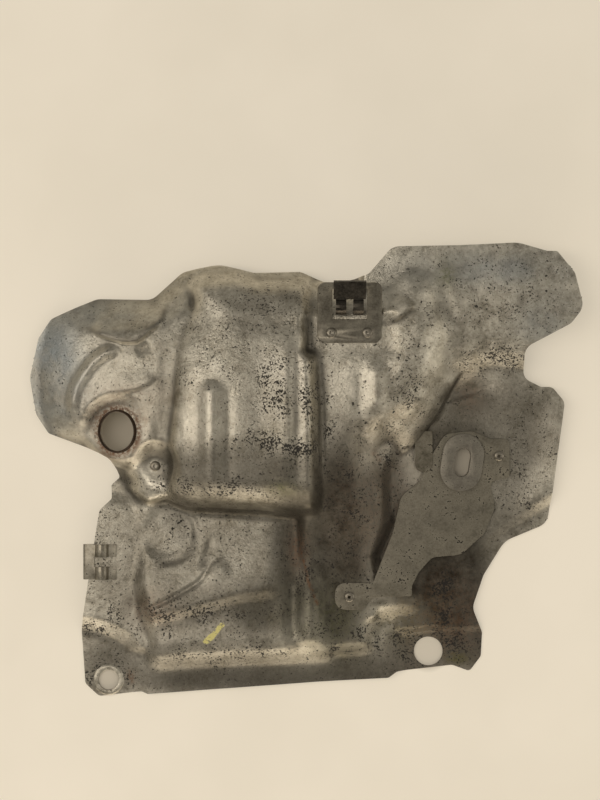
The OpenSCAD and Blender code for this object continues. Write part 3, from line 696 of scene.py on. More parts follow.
@dataclass
class ShieldPanel:
    """The pressed sheet, drawn on a fine grid, trimmed to its outline and given its wall."""

    form: PressedForm = field(default_factory=PressedForm)
    wall: float = 1.0
    spacing: float = 1.25
    points: int = 47000
    corners: tuple = (
        (-219, 74, 20), (-212, 106, 14), (-202, 121, 10), (-165, 137, 14), (-121, 136, 12), (-97, 158, 14),
        (-68, 164, 30), (-40, 157, 10), (-3, 158, 10), (20, 148, 10), (50, 155, 10), (69, 177, 12),
        (117, 178, 40), (168, 180.5, 30), (191, 174, 3), (199, 174, 3), (213, 157, 8), (220, 130, 12),
        (210, 117, 10), (174, 98, 10), (174, 74, 9), (188, 67, 4), (197, 67, 6), (207, 55, 8),
        (197, -20, 20), (194, -42, 12), (160, -56, 20), (143, -83, 20), (134, -109, 12), (142, -129, 6),
        (141, -148, 5), (132, -160, 3), (118, -155, 6), (74, -160, 4), (67, -165, 4), (12, -168, 60),
        (-125, -178, 3), (-130, -176, 4), (-164, -180, 5), (-175, -170, 5), (-178, -128, 30),
        (-168, -61, 60), (-163, -31, 5), (-153.5, -22, 3), (-154, -11, 3), (-147, -5, 3), (-153, 10, 10),
        (-163, 15, 10), (-204, 30, 5), (-214, 45, 12),
    )
    holes: tuple = ((-156.5, -167, 8.0), (99, -144, 11.5), (125.5, 7, 23.8))
    sensor: tuple = (-146.5, 32.0, 15.5, 24.0)

    def hole_lines(self) -> list[Line]:
        """The closed line of each hole as seen from above, in mm."""
        lines = []
        for cx, cy, radius in self.holes:
            turn = [2 * math.pi * k / 48 for k in range(48)]
            lines.append([(cx + radius * math.cos(t), cy + radius * math.sin(t)) for t in turn])
        cx, cy, radius, tilt = self.sensor
        narrow = radius * math.cos(math.radians(tilt))
        lines.append([(cx + narrow * math.cos(t), cy + radius * math.sin(t)) for t in turn])
        return lines

    def build(self) -> Solid:
        """Model the sheet.

        Returns:
            The finished object, riding on the root body in place of the CAD node.
        """
        low, high = np.array(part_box("shield_panel")) / MM
        gx = np.arange(low[0] - 6, high[0] + 6, 1.0)
        gy = np.arange(low[1] - 6, high[1] + 6, 1.0)
        grid_x, grid_y = np.meshgrid(gx, gy)
        z = self.form.height(grid_x, grid_y, 1.0)
        bend = sum(np.abs(np.gradient(np.gradient(z, axis=k), axis=k)) for k in (0, 1))
        maps = {
            "height": z,
            "bend": blur(bend, 1.5, 1.0),
            # Painted shade: darker where the form dips below its own blur, in its hollows and creases.
            "hollow_shade": (blur(z, 5, 1.0) - z) / 3.0,
        }
        maps.update(WearAndShade().maps(grid_x, grid_y))

        def sample(name: str, x: Grid, y: Grid) -> Grid:
            """Read a map at any points."""
            table = maps[name]
            u, v = x - gx[0], y - gy[0]
            i = np.clip(u.astype(int), 0, len(gx) - 2)
            j = np.clip(v.astype(int), 0, len(gy) - 2)
            a, b = u - i, v - j
            near, far = (mix(table[k, i], table[k, i + 1], a) for k in (j, j + 1))
            return mix(near, far, b)

        obj = self.flat_sheet(lambda x, y: sample("bend", x, y))
        co = points_of(obj)
        x, y = co[:, 0] / MM, co[:, 1] / MM
        co[:, 2] = (sample("height", x, y) + self.wall) * MM
        obj.data.vertices.foreach_set("co", co.ravel())
        for mark in Mark:
            layer = obj.data.attributes.new(mark.value, "FLOAT", "POINT")
            layer.data.foreach_set("value", np.clip(sample(mark.value, x, y), 0, 1).astype(np.float32))
        self.finish(obj, low, high)
        self.add_rims(obj)
        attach(obj, "root")
        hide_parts("shield_panel")
        return obj

    def add_rims(self, sheet: Solid) -> None:
        """Join the sensor hole's collar, the left hole's raised seat and the lanced tongue to the sheet."""
        cx, cy, radius, tilt = self.sensor
        lip = ((0, 0.4), (1.6, 0.4), (1.6, 1.0), (1.15, 2.9), (0.8, 3.4), (0.4, 3.45), (0, 3.1))
        rim = turned("sensor_collar", [(radius + r, z) for r, z in lip], (cx, cy, 27), tilt)
        rim.data.materials.append(PlainSteel("scorched_rim", "#4a3a2c", "#241c15", 0.5,
            0.3, 0.6).material())
        cx, cy, radius = self.holes[0]
        step = ((0, 0.8), (4.2, 0.8), (4.2, 1.0), (3.2, 1.7), (2.8, 1.8), (0.3, 1.8), (0, 1.6))
        seat = turned("left_seat_ring", [(radius + r, z) for r, z in step], (cx, cy, 0))
        # The tongue's half width, the centre of its round end, its top edge and its middle line.
        side, end, top, half = 7.0, 6.0, 32.0, 95.0
        turn = [math.pi + math.pi * k / 16 for k in range(17)]
        outline = [(half + side, top), (half - side, top)]
        outline += [(half + side * math.cos(t), end + side * math.sin(t)) for t in turn]
        tongue = slab("lanced_tongue", outline, 7.05, 8.05)
        seat.data.materials.append(sheet.data.materials[0])
        tongue.data.materials.append(PlainSteel("sooted_lap", "#8b8577", "#5b564a", 0.42, 0.7).material())
        deselect()
        for obj in (rim, seat, tongue, sheet):
            obj.select_set(True)
        bpy.context.view_layer.objects.active = sheet
        bpy.ops.object.join()

    def flat_sheet(self, bend: object) -> Solid:
        """The trimmed blank: fine triangles where the form bends, coarse ones elsewhere.

        Args:
            bend: gives how sharply the form bends at any points.

        Returns:
            The flat blank, with its outline and holes cut exactly.
        """
        outline, holes = rounded(list(self.corners)), self.hole_lines()
        s = self.spacing
        row = np.arange(-182, 182, s * math.sqrt(3) / 2)
        col = np.arange(-220, 220, s)
        j, i = np.meshgrid(np.arange(len(row)), np.arange(len(col)), indexing="ij")
        x, y = col[i] + np.where(j % 2 == 1, s / 2, 0), row[j]
        coarse = (j % 2 == 0) & ((i + j // 2) % 2 == 0)
        keep = inside(x, y, outline) & (line_gap(x, y, outline + outline[:1]) > 0.5 * s)
        for line in holes:
            keep &= ~inside(x, y, line) & (line_gap(x, y, line + line[:1]) > 0.5 * s)
        sharp = np.where(keep & ~coarse, bend(x, y), 0)
        spare = self.points - int((keep & coarse).sum())
        cut = np.sort(sharp.ravel())[-spare]
        chosen = keep & (coarse | (sharp >= max(cut, 1e-4)))
        rims = [outline] + holes
        points, loops = [], []
        for line in rims:
            dense = []
            for k, p in enumerate(line):
                q = line[(k + 1) % len(line)]
                n = max(1, int(math.dist(p, q) / (0.8 * s)))
                dense += [(p[0] + (q[0] - p[0]) * t / n, p[1] + (q[1] - p[1]) * t / n) for t in range(n)]
            loops.append(list(range(len(points), len(points) + len(dense))))
            points += dense
        points += list(zip(x[chosen].tolist(), y[chosen].tolist()))
        edges = [(loop[k - 1], loop[k]) for loop in loops for k in range(len(loop))]
        result = delaunay_2d_cdt([Vector(p) for p in points], edges, [], 0, 1e-5, False)
        verts = np.array([(p.x, p.y, 0.0) for p in result[0]])
        faces = np.array(result[2])
        middle = verts[faces].mean(axis=1)
        solid = inside(middle[:, 0], middle[:, 1], outline)
        for line in holes:
            solid &= ~inside(middle[:, 0], middle[:, 1], line)
        mesh = bpy.data.meshes.new("pressed_shield_sheet")
        mesh.from_pydata((verts * MM).tolist(), [], faces[solid].tolist())
        mesh.validate()
        with edited(mesh) as work:
            bmesh.ops.delete(work, geom=[v for v in work.verts if not v.link_faces], context="VERTS")
        return placed("pressed_shield_sheet", mesh)

    def finish(self, obj: Solid, low: Grid, high: Grid) -> None:
        """Give the sheet its wall, keep it in the CAD box and dress it."""
        solid = obj.modifiers.new("wall", "SOLIDIFY")
        solid.thickness = self.wall * MM
        solid.offset = -1
        apply_modifiers(obj)
        co = np.clip(points_of(obj), low * MM, high * MM)
        obj.data.vertices.foreach_set("co", co.ravel())
        obj.data.update()
        bpy.ops.object.shade_smooth_by_angle(angle=math.radians(50))
        obj.data.materials.clear()
        obj.data.materials.append(AluminisedSteel().material())


@dataclass
class WearAndShade:
    """Where the sheet is pitted, stained and tinted, and where shade is painted on it: soft patches and
    strokes, in mm.

    Fields:
        pits, stain, green, blue, film_and_shade: patches of x, y, half sizes and strength; film_and_shade
            is partly a dark film and partly painted shade.
        shade_and_soot, rust, daub: strokes of points, half width and strength; shade_and_soot is painted
            shade along folds and creases, and painted shadow round the parts on the sheet.
        scorch: centre, radius, half width and strength of the burnt ring round the sensor hole.
    """

    pits: tuple = (
        (-22, 66, 12, 30, 0.8), (4, 54, 8, 40, 0.75), (-38, 26, 26, 10, 0.8), (-8, 18, 22, 12, 0.9),
        (-70, -10, 70, 8, 0.7), (-75, 100, 30, 40, 0.3), (-158, -124, 26, 10, 0.75),
        (-148, -112, 12, 12, 0.7), (-90, -112, 60, 14, 0.6), (-60, -146, 70, 10, 0.55),
        (70, 10, 12, 40, 0.6), (34, -30, 20, 70, 0.5), (80, 74, 18, 36, 0.5), (150, 88, 30, 12, 0.6),
        (112, -95, 9, 40, 1.0), (36, -140, 30, 14, 0.6), (100, -140, 40, 18, 0.8),
        (-160, -164, 18, 14, 0.8), (-30, 130, 30, 20, 0.5), (0, -80, 14, 50, 0.4), (176, -6, 20, 50, 0.35),
        (150, 130, 60, 40, 0.3), (-100, -40, 50, 40, 0.25), (60, -130, 60, 20, 0.6),
        (-170, -40, 20, 50, 0.3), (146, -20, 20, 20, 0.35), (18, 20, 10, 60, 0.4),
    )
    stain: tuple = (
        (-146, 40, 24, 14, 0.8), (-152, 17, 12, 8, 0.9), (-5, -60, 8, 18, 0.55), (60, -30, 40, 60, 0.25),
        (110, -120, 36, 36, 0.4), (-120, -110, 18, 14, 0.5), (-146, 60, 40, 10, 0.3),
        (132, 62, 12, 16, 0.3),
    )
    green: tuple = (
        (122, -150, 9, 5, 1.0), (111, 154, 7, 10, 0.8), (20, -120, 40, 30, 0.35), (-17, -12, 12, 6, 0.6),
        (76, -120, 30, 20, 0.4),
    )
    blue: tuple = ((-200, 80, 26, 56, 1.0), (-160, 126, 40, 14, 0.6), (150, 160, 70, 14, 0.6),
        (190, 120, 26, 30, 0.5))
    # Painted shade in a soot tone: dark strokes along folds, creases, valleys and steps.
    shade_and_soot: tuple = (
        ([(-176.5, -127.5), (-163.5, -134.5), (-150.5, -141), (-138, -142.5), (-130, -152), (-129, -167.5),
        (-126.5, -178.5)], 5, 0.9),
        ([(-87.5, -42.5), (-88.5, -60), (-98, -70), (-112.5, -74)], 4, 0.9),
        ([(-74.5, -51.5), (-77, -65), (-83.5, -79.5)], 4, 0.9),
        ([(-132.5, -116), (-105, -101), (-82.5, -88), (-74.5, -76), (-65, -67.5)], 2.5, 0.8),
        ([(-105, -27.5), (-67.5, -31.5), (-38, -33), (-12.5, -38)], 7, 0.8),
        ([(129.5, 55), (143.5, 44), (156.5, 38), (177.5, 36)], 7, 0.9),
        ([(124.5, 77.5), (114, 60), (107, 46), (99, 36.5), (88.5, 23), (73.5, 14)], 1.7, 1.5),
        # Painted shadows: along the stay's two edges, round its foot, round the lanced tongue and over the
        # collar.
        ([(105.5, 7), (95.5, -4), (84.5, -23.5), (76.5, -39.5), (71, -59.5), (67, -76), (58, -87.5)],
        3.2, 1.0),
        ([(154, -17), (151.5, -33), (145.5, -42.5), (129.5, -50.5), (115, -68), (102, -81), (91, -89)],
        3.0, 1.0),
        ([(28.5, -90), (27, -100), (33.5, -106.5), (46, -106.5), (63.5, -102), (79.5, -100)], 2.6, 0.9),
        ([(89.5, 31), (86, 15), (89.5, 4), (99, -2.5)], 2.6, 1.0),
        ([(109.5, 24.5), (118, 30), (132.5, 31), (142, 24.5)], 2.6, 0.9),
        ([(59, 116), (72.5, 118), (83.5, 127)], 3, 1.0),
        ([(-168.5, 111), (-149, 105.5), (-141, 103), (-131.5, 103), (-125, 108.5), (-118.5, 114),
        (-112.5, 118), (-110, 126)], 2.2, 1.0),
        ([(-141, 63), (-131.5, 64.5), (-122, 69.5), (-115.5, 73.5)], 3, 0.8),
        ([(-137, 95), (-125, 98)], 8, 0.5),
        ([(-111.5, 100), (-112.5, 56.5), (-111.5, 16.5)], 5, 0.6),
        ([(-78.5, 64.5), (-79.5, 32.5), (-78.5, -7.5)], 4, 0.45),
        ([(-64.5, 63), (-64.5, -9)], 5, 0.55),
        ([(-6.5, 83), (-6.5, 31)], 3, 0.6),
        ([(12.5, 112.5), (12.5, 32.5), (14, -39.5)], 4, 0.5),
        ([(-133, -36), (-132.5, -73)], 6, 0.5),
        ([(-138, -97), (-141, -110)], 8, 0.8),
        ([(111, -71.5), (111, -118)], 6, 0.7),
        ([(106, -122.5), (139, -122.5)], 2.5, 0.8),
        ([(59, -135.5), (57.5, -151.5)], 5, 0.6),
        ([(-11.5, -91.5), (-10.5, -135.5)], 6, 0.5),
        ([(-43.5, 138), (-29, 127)], 8, 0.35),
        ([(-16.5, 139), (-13, 137.5)], 6, 0.4),
        ([(-54.5, 24.5), (-34, 26), (-22.5, 21.5)], 7, 0.6),
        ([(115, 156.5), (120.5, 112.5)], 8, 0.25),
        ([(120.5, 100.5), (118, 40.5)], 8, 0.3),
    )
    rust: tuple = (
        ([(-6, -54), (-1, -68), (3, -86.5), (10, -104)], 1.2, 0.9),
        ([(55, 15), (59.5, 10)], 3, 0.7),
        ([(-139.5, -161), (-138.5, -167.5)], 2.5, 0.8),
    )
    daub: tuple = (([(-78, -134.5), (-72.5, -130), (-65, -121)], 2.0, 1.0),)
    # Dark patches, partly a dark film on the sheet and partly painted shade: they dim highlights and darken
    # the hollow above the collar and the ground round the stay.
    film_and_shade: tuple = (
        (26, -60, 26, 92, 0.95), (66, -34, 22, 52, 0.8), (120, 24, 34, 22, 0.85), (118, -88, 34, 54, 1.0),
        (88, -50, 26, 30, 0.85), (-8, -68, 18, 62, 0.85), (-22, 2, 16, 16, 0.85),
        (-110, -143, 16, 10, 0.6), (-34, -108, 30, 22, 0.8), (-70, -104, 50, 16, 0.6),
        (85, -92, 26, 16, 0.8), (170, 34, 30, 38, 0.6), (140, -20, 44, 44, 0.55),
        (-150, -154, 28, 22, 0.65), (-30, -166, 120, 14, 0.85), (60, -158, 50, 12, 0.8),
        (-96, -36, 14, 22, 0.6), (-50, 4, 62, 20, 0.65), (82, -132, 16, 24, 0.75),
        (128, -132, 34, 26, 0.85), (84, -144, 22, 12, 0.7), (132, 56, 26, 15, 0.75),
        (-70, -146, 60, 12, 0.35), (34, -140, 22, 16, 0.7), (-40, 118, 24, 24, 0.3),
        (168, 86, 34, 12, 0.35), (-80, -86, 80, 60, 0.3), (-150, -60, 24, 50, 0.25),
        (-130, 84, 36, 30, 0.25), (-30, 60, 20, 40, 0.3),
    )
    scorch: tuple = (-146.5, 32.0, 18.0, 3.5, 0.9)

    def patch(self, x: Grid, y: Grid, spots: tuple) -> Grid:
        """The strongest of some soft elliptical patches at each point."""
        out = 0 * x
        for cx, cy, rx, ry, strength in spots:
            out = np.maximum(out, strength * np.exp(-(((x - cx) / rx) ** 2) - ((y - cy) / ry) ** 2))
        return out

    def coats(self, x: Grid, y: Grid) -> Grid:
        """The strongest of some even patches with soft edges at each point."""
        out = 0 * x
        for cx, cy, rx, ry, strength in self.film_and_shade:
            out = np.maximum(out, strength * smooth((1.4 - np.hypot((x - cx) / rx, (y - cy) / ry)) / 0.75))
        return out

    def stroke(self, x: Grid, y: Grid, strokes: tuple) -> Grid:
        """The strongest of some soft strokes at each point, thinned by slow noise along them."""
        out = 0 * x
        for line, half, strength in strokes:
            out = np.maximum(out, strength * np.exp(-((line_gap(x, y, line) / half) ** 2)))
        return out * (0.8 + 0.35 * dents(x, y, 9, 11))

    def maps(self, x: Grid, y: Grid) -> dict[str, Grid]:
        """Each named map over a grid of points."""
        maps = {name: self.patch(x, y, getattr(self, name)) for name in ("pits", "stain", "green", "blue")}
        maps["film_and_shade"] = blur(self.coats(x, y), 5, 1.0)
        maps.update({name: self.stroke(x, y, getattr(self, name)) for name in ("shade_and_soot", "rust", "daub")})
        cx, cy, radius, half, strength = self.scorch
        ring = strength * np.exp(-(((np.hypot((x - cx) * 1.07, y - cy) - radius) / half) ** 2))
        maps["rust"] = np.maximum(maps["rust"], ring)
        return maps


# ---------------------------------------------------------------- finishes


def new_material(name: str) -> tuple[bpy.types.Material, Tree, bpy.types.Node]:
    """A material with an empty Principled surface.

    Args:
        name: the finish's plain name.

    Returns:
        The material, its node tree and its surface node.
    """
    material = bpy.data.materials.new(name)
    material.use_nodes = True
    tree = material.node_tree
    tree.nodes.clear()
    surface = add_node(tree, "BsdfPrincipled")
    add_node(tree, "OutputMaterial", {"Surface": surface.outputs["BSDF"]})
    return material, tree, surface


def blend_colour(tree: Tree, share_socket: object, a: object, b: object) -> Socket:
    """Mix two colours by a share, and return the result's socket."""
    node = add_node(tree, "Mix", {0: share_socket, 6: a, 7: b}, data_type="RGBA")
    return node.outputs[2]


def maths(tree: Tree, operation: str, *values: object, clamp: bool = False) -> Socket:
    """One arithmetic step on sockets and numbers."""
    node = add_node(tree, "Math", dict(enumerate(values)), operation=operation, use_clamp=clamp)
    return node.outputs[0]


def fit(tree: Tree, value: object, low: float, high: float, to_low: float = 0.0,
    to_high: float = 1.0) -> Socket:
    """Stretch a range of values to another range, clamped."""
    inputs = {"Value": value, "From Min": low, "From Max": high, "To Min": to_low, "To Max": to_high}
    return add_node(tree, "MapRange", inputs).outputs[0]


def noise_field(tree: Tree, place: object, size: float, detail: float = 3.0, rough: float = 0.5) -> Socket:
    """Noise whose features are about this size in mm."""
    inputs = {"Vector": place, "Scale": per_mm(size), "Detail": detail, "Roughness": rough}
    return add_node(tree, "TexNoise", inputs).outputs["Fac"]


def speck_field(tree: Tree, place: object, size: float, density: object, common: float) -> Socket:
    """Ragged specks that thicken into patches.

    Args:
        tree: the node tree.
        place: the coordinates' socket.
        size: size of a speck in mm.
        density: 0 for hardly any, 1 for a crowded patch.
        common: how far the density opens the specks.

    Returns:
        1 in a speck, 0 outside.
    """
    rough = noise_field(tree, place, size, 3.0, 0.62)
    level = maths(tree, "MULTIPLY_ADD", density, -common, 0.70)
    return fit(tree, maths(tree, "SUBTRACT", rough, level), 0.0, 0.035)


@dataclass(frozen=True)
class AluminisedSteel:
    """Hot-dip aluminised steel sheet, pressed, heat-stained and pitted.

    The dip gives a soft satin mirror; heat turns it warm grey, and corrosion leaves dark pits. Painted
    shade darkens it in its hollows, along its creases and round the parts on it.
    """

    light: str = "#d6d0c1"
    dark: str = "#857f71"
    shade_and_soot: str = "#2c2821"
    pit: str = "#17130f"
    rust: str = "#6b4526"
    moss: str = "#5f6239"
    blued: str = "#80878a"
    paint: str = "#d9d08a"
    roughness: float = 0.30
    dirt_and_shade_cover: float = 0.92
    pit_cover: float = 0.92
    pits_everywhere: float = 0.34
    dull_loss: float = 0.9
    relief: float = 0.35

    def material(self) -> bpy.types.Material:
        """Build the material."""
        material, tree, surface = new_material("aluminised_steel_pitted")
        place = add_node(tree, "TexCoord").outputs["Object"]
        read = {mark.value: add_node(tree, "Attribute",
            attribute_name=mark.value).outputs["Fac"] for mark in Mark}
        cloud = noise_field(tree, place, 48, 4, 0.6)
        blotch = noise_field(tree, place, 10, 4, 0.62)
        fine = noise_field(tree, place, 2.6, 5, 0.72)
        tone = maths(tree, "MULTIPLY_ADD", fine, 0.30, maths(tree, "MULTIPLY", cloud, 0.35))
        tone = maths(tree, "MULTIPLY_ADD", blotch, 0.35, tone)
        colour = blend_colour(tree, fit(tree, tone, 0.38, 0.62), linear(self.dark), linear(self.light))
        colour = blend_colour(tree, maths(tree, "MULTIPLY", read["blue"], fit(tree, cloud, 0.3, 0.6)),
            colour, linear(self.blued))
        # dirt_and_shade: random dirt from the noise, plus painted shade in the hollows.
        dirt_and_shade = maths(tree, "MULTIPLY_ADD", fine, 0.5, read["hollow_shade"])
        dirt_and_shade = maths(tree, "MULTIPLY", fit(tree, maths(tree, "MULTIPLY_ADD", blotch, 0.25, dirt_and_shade),
            0.45, 1.05), 0.75)
        # Painted shade and painted shadows along the strokes, broken up by noise.
        shade_and_soot = maths(tree, "MULTIPLY", read["shade_and_soot"], fit(tree,
            maths(tree, "MULTIPLY_ADD", blotch, 0.6, fine), 0.6, 0.95, 0.45, 1.0))
        # A dark film, partly painted shade.
        film_and_shade = maths(tree, "MULTIPLY", read["film_and_shade"], fit(tree, blotch, 0.3, 0.7, 0.85, 1.1))
        dirt_and_shade = maths(tree, "MAXIMUM", dirt_and_shade, maths(tree, "MAXIMUM", shade_and_soot, film_and_shade))
        # The dirt and the painted shade darken the colour towards the shade_and_soot tone.
        colour = blend_colour(tree, maths(tree, "MULTIPLY", dirt_and_shade, self.dirt_and_shade_cover),
            colour, linear(self.shade_and_soot))
        colour = blend_colour(tree, maths(tree, "MULTIPLY", read["green"], fit(tree, fine, 0.35, 0.65)),
            colour, linear(self.moss))
        stain = maths(tree, "MULTIPLY", read["stain"], fit(tree, fine, 0.38, 0.6))
        rust = maths(tree, "MAXIMUM", stain, maths(tree, "MULTIPLY", read["rust"],
            fit(tree, fine, 0.40, 0.55)), clamp=True)
        colour = blend_colour(tree, rust, colour, linear(self.rust))
        patchy = fit(tree, noise_field(tree, place, 13, 3, 0.6), 0.36, 0.64)
        density = maths(tree, "MULTIPLY", maths(tree, "ADD", read["pits"], self.pits_everywhere),
            maths(tree, "MULTIPLY_ADD", patchy, 0.8, 0.3))
        pits = maths(tree, "MAXIMUM", speck_field(tree, place, 1.6, density, 0.22),
            speck_field(tree, place, 4.0, density, 0.10))
        colour = blend_colour(tree, maths(tree, "MULTIPLY", pits, self.pit_cover), colour, linear(self.pit))
        daub = fit(tree, maths(tree, "MULTIPLY", read["daub"], fit(tree, fine, 0.36, 0.5, 0.1, 1.0)),
            0.22, 0.34)
        colour = blend_colour(tree, daub, colour, linear(self.paint))
        tree.links.new(colour, surface.inputs["Base Color"])
        rough = maths(tree, "MULTIPLY_ADD", blotch, 0.30, self.roughness - 0.15)
        rough = maths(tree, "MULTIPLY_ADD", fine, 0.16, rough)
        rough = maths(tree, "MULTIPLY_ADD", dirt_and_shade, 0.14, rough)
        rough = maths(tree, "MULTIPLY_ADD", rust, 0.25, rough)
        rough = maths(tree, "MAXIMUM", rough, maths(tree, "MULTIPLY",
            maths(tree, "MAXIMUM", pits, daub), 0.8))
        tree.links.new(rough, surface.inputs["Roughness"])
        dull = maths(tree, "MAXIMUM", maths(tree, "MAXIMUM", pits, daub),
            maths(tree, "MULTIPLY", rust, 0.6))
        tree.links.new(maths(tree, "MULTIPLY_ADD", dull, -self.dull_loss, 1.0), surface.inputs["Metallic"])
        relief = maths(tree, "MULTIPLY_ADD", pits, -1.0, maths(tree, "MULTIPLY", fine, 1.6))
        relief = maths(tree, "MULTIPLY_ADD", blotch, 2.2, relief)
        bump = add_node(tree, "Bump", {"Height": relief, "Strength": 0.7, "Distance": self.relief * MM})
        tree.links.new(bump.outputs[0], surface.inputs["Normal"])
        return material


@dataclass(frozen=True)
class PlainSteel:
    """Sheet or wire steel with soot in its scratches: matt, darker or lighter by its coating."""

    name: str
    light: str
    dark: str
    roughness: float
    speck: float = 0.4
    metallic: float = 1.0

    def material(self) -> bpy.types.Material:
        """Build the material."""
        material, tree, surface = new_material(self.name)
        place = add_node(tree, "TexCoord").outputs["Object"]
        cloud = noise_field(tree, place, 12, 5, 0.65)
        fine = noise_field(tree, place, 1.8, 3, 0.6)
        tone = maths(tree, "MULTIPLY_ADD", fine, 0.4, maths(tree, "MULTIPLY", cloud, 0.6))
        colour = blend_colour(tree, fit(tree, tone, 0.36, 0.64), linear(self.dark), linear(self.light))
        pits = speck_field(tree, place, 1.8, maths(tree, "MULTIPLY",
            fit(tree, cloud, 0.4, 0.65), self.speck), 0.17)
        colour = blend_colour(tree, pits, colour, linear("#1d1914"))
        tree.links.new(colour, surface.inputs["Base Color"])
        rough = maths(tree, "MULTIPLY_ADD", cloud, 0.25, self.roughness - 0.12)
        tree.links.new(rough, surface.inputs["Roughness"])
        surface.inputs["Metallic"].default_value = self.metallic
        relief = maths(tree, "MULTIPLY_ADD", pits, -1.0, maths(tree, "MULTIPLY", fine, 0.4))
        bump = add_node(tree, "Bump", {"Height": relief, "Strength": 0.4, "Distance": 0.2 * MM})
        tree.links.new(bump.outputs[0], surface.inputs["Normal"])
        return material


def softened(node: str, finish: PlainSteel, bevel: float = 0.3) -> Solid:
    """A copy of a CAD node with its sharp edges broken and its finish on.

    Args:
        node: the CAD node's name.
        finish: its material.
        bevel: width of the broken edge in mm.

    Returns:
        The finished object, in place of the CAD node.
    """
    source = frame["nodes"][node]
    mesh = source.data.copy()
    mesh.transform(source.matrix_world)
    with edited(mesh) as work:
        bmesh.ops.remove_doubles(work, verts=work.verts, dist=0.002 * MM)
        bmesh.ops.dissolve_limit(work, angle_limit=math.radians(0.5), verts=work.verts, edges=work.edges)
        bmesh.ops.recalc_face_normals(work, faces=work.faces)
    obj = placed(node + "_finished", mesh)
    break_edges(obj, bevel)
    bpy.ops.object.shade_smooth_by_angle(angle=math.radians(35))
    obj.data.materials.clear()
    obj.data.materials.append(finish.material())
    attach(obj, "root")
    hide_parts(node)
    log.info("%s: %s", node, finish.name)
    return obj


# ---------------------------------------------------------------- studio


# Name, centre and aim in mm, width and height in mm, watts and colour of each lamp.
LAMPS = (
    ("front_box", (0, -1300, 330), (0, 0, 20), (2200, 520), 9.2, "#fff1dc"),
    ("side_box", (-800, 150, 1250), (0, 0, 0), (460, 1500), 7.2, "#fff6ea"),
    ("fill_box", (1100, 0, 500), (0, 0, 20), (500, 1200), 2.4, "#f6efe2"),
)


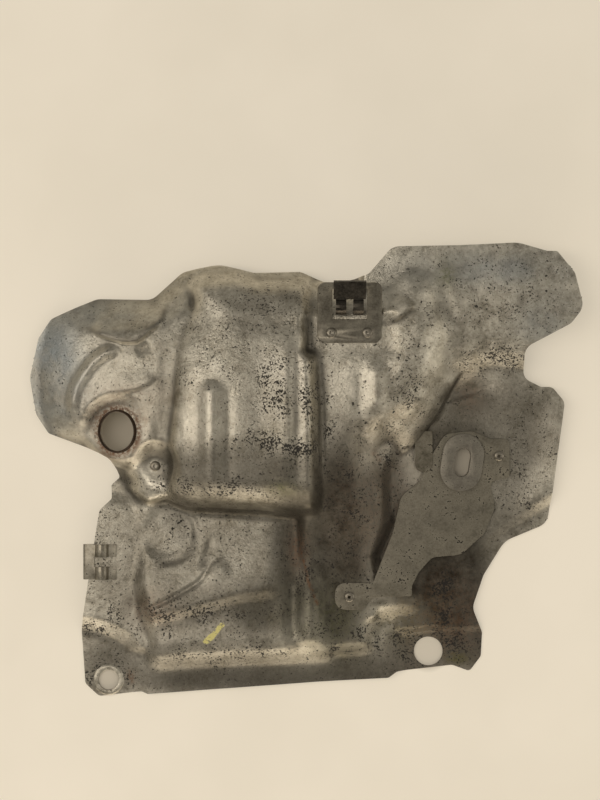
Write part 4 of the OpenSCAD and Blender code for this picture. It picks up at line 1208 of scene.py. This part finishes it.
@dataclass
class Studio:
    """Plain pale floor, two soft boxes and the camera, looking straight down on the lying part."""

    focus: tuple = (-3.5, 56.6, 20.0)
    distance: float = 1500.0
    frame_height: float = 640.0
    floor_lift: float = 0.55
    shaded: tuple = ((-146.5, 32, 18, 0.0), (-156.5, -167, 8, 0.1),
        (99, -144, 12, 0.3), (125.5, 7, 24, 0.0))

    def floor(self) -> None:
        """A plain pale floor under the part."""
        deselect()
        bpy.ops.mesh.primitive_grid_add(x_subdivisions=8, y_subdivisions=8, size=6.0, location=(0, 0, 0))
        floor = bpy.context.active_object
        floor.name = "studio_floor"
        material, tree, surface = new_material("matt_paper")
        place = add_node(tree, "TexCoord").outputs["Object"]
        tone = noise_field(tree, place, 160, 3, 0.5)
        colour = blend_colour(tree, fit(tree, tone, 0.35, 0.65), linear("#c9c1b1"), linear("#d2cabb"))
        tree.links.new(colour, surface.inputs["Base Color"])
        surface.inputs["Roughness"].default_value = 0.8
        # Seen by the camera, in the metal or through a hole, the floor is paler than its own light.
        path = add_node(tree, "LightPath").outputs
        mirrored = maths(tree, "MAXIMUM", path["Is Glossy Ray"], path["Is Transmission Ray"])
        seen = maths(tree, "MAXIMUM", path["Is Camera Ray"], mirrored)
        # Under the holes its paleness is cut back: painted shade where the part shades the floor.
        for x, y, radius, shade in self.shaded:
            spot = {0: place, 1: (x * MM, y * MM, 0.0)}
            away = add_node(tree, "VectorMath", spot, operation="DISTANCE").outputs["Value"]
            light = fit(tree, away, radius * MM, (radius + 6) * MM, shade, 1.0)
            seen = maths(tree, "MULTIPLY", seen, light)
        tree.links.new(maths(tree, "MULTIPLY", seen, self.floor_lift), surface.inputs["Emission Strength"])
        surface.inputs["Emission Color"].default_value = linear("#cfc6b5")
        floor.data.materials.append(material)

    def soft_box(self, name: str, place: tuple, aim: tuple, size: tuple, power: float, colour: str) -> None:
        """Add one rectangular lamp.

        Args:
            name: the lamp's name.
            place: its centre in mm.
            aim: the point it faces in mm.
            size: width and height in mm.
            power: watts.
            colour: sRGB hex.
        """
        data = bpy.data.lights.new(name, "AREA")
        data.shape, data.size, data.size_y = "RECTANGLE", size[0] * MM, size[1] * MM
        data.energy, data.color = power, linear(colour)[:3]
        lamp = placed(name, data)
        lamp.location = Vector(place) * MM
        lamp.rotation_euler = (Vector(aim) - Vector(place)).to_track_quat("-Z", "Y").to_euler()

    def lights(self) -> None:
        """The low front box, the long side box and the soft surround."""
        for lamp in LAMPS:
            self.soft_box(*lamp)
        world = bpy.data.worlds.new("soft_surround")
        bpy.context.scene.world = world
        world.use_nodes = True
        tree = world.node_tree
        tree.nodes.clear()
        ray = add_node(tree, "TexCoord").outputs["Generated"]
        up = add_node(tree, "SeparateXYZ", {0: ray}).outputs[2]
        strength = fit(tree, up, 0.0, 1.0, 0.42, 0.355)
        back = add_node(tree, "Background", {"Color": linear("#f1ebe0"), "Strength": strength})
        add_node(tree, "OutputWorld", {"Surface": back.outputs[0]})

    def camera(self) -> None:
        """The camera over the part, upright frame, with the part's top at the frame's top."""
        data = bpy.data.cameras.new("camera")
        data.sensor_width = 36
        data.lens = 36 * self.distance / self.frame_height
        data.clip_end = 20
        camera = placed("camera", data)
        camera.location = Vector((self.focus[0], self.focus[1], self.distance)) * MM
        bpy.context.scene.camera = camera

    def build(self) -> None:
        """Set the whole studio up."""
        self.floor()
        self.lights()
        self.camera()
        bpy.context.scene.view_settings.view_transform = "Standard"


RIVET_STEEL = PlainSteel("steel_blind_rivet", "#9a9488", "#6f695d", 0.40)
PIECES = (
    ("top_bracket", "bracket", PlainSteel("galvanised_strip", "#8f8a7d", "#625d53", 0.40, 0.5)),
    ("spring_clip", "spring_steel", PlainSteel("oiled_spring_steel", "#57524a", "#2a2723", 0.34)),
    ("edge_clip", "spring_steel", PlainSteel("dulled_spring_steel", "#a8a294", "#756f62", 0.42)),
    ("stay_plate", "stay", PlainSteel("zinc_flake_steel", "#8a8475", "#5f5a4e", 0.52, 0.95, 0.5)),
    ("slot_collar", "collar", PlainSteel("zinc_flake_collar", "#8c877b", "#676259", 0.46, 0.7, 0.7)),
    ("slot_washer", "collar", PlainSteel("sooted_washer", "#3c3830", "#24211c", 0.6)),
    ("bracket_rivet_left", "rivet", RIVET_STEEL),
    ("bracket_rivet_right", "rivet", RIVET_STEEL),
    ("stay_rivet_upper", "rivet", RIVET_STEEL),
    ("stay_rivet_lower", "rivet", RIVET_STEEL),
    ("ear_rivet", "rivet", RIVET_STEEL),
)


def main() -> None:
    """Build every piece in order and report it."""
    Studio().build()
    sheet = ShieldPanel().build()
    log.info("%s: %d faces", sheet.name, len(sheet.data.polygons))
    for node, slot, finish in PIECES:
        softened(node, finish)


if __name__ == "__main__":
    main()
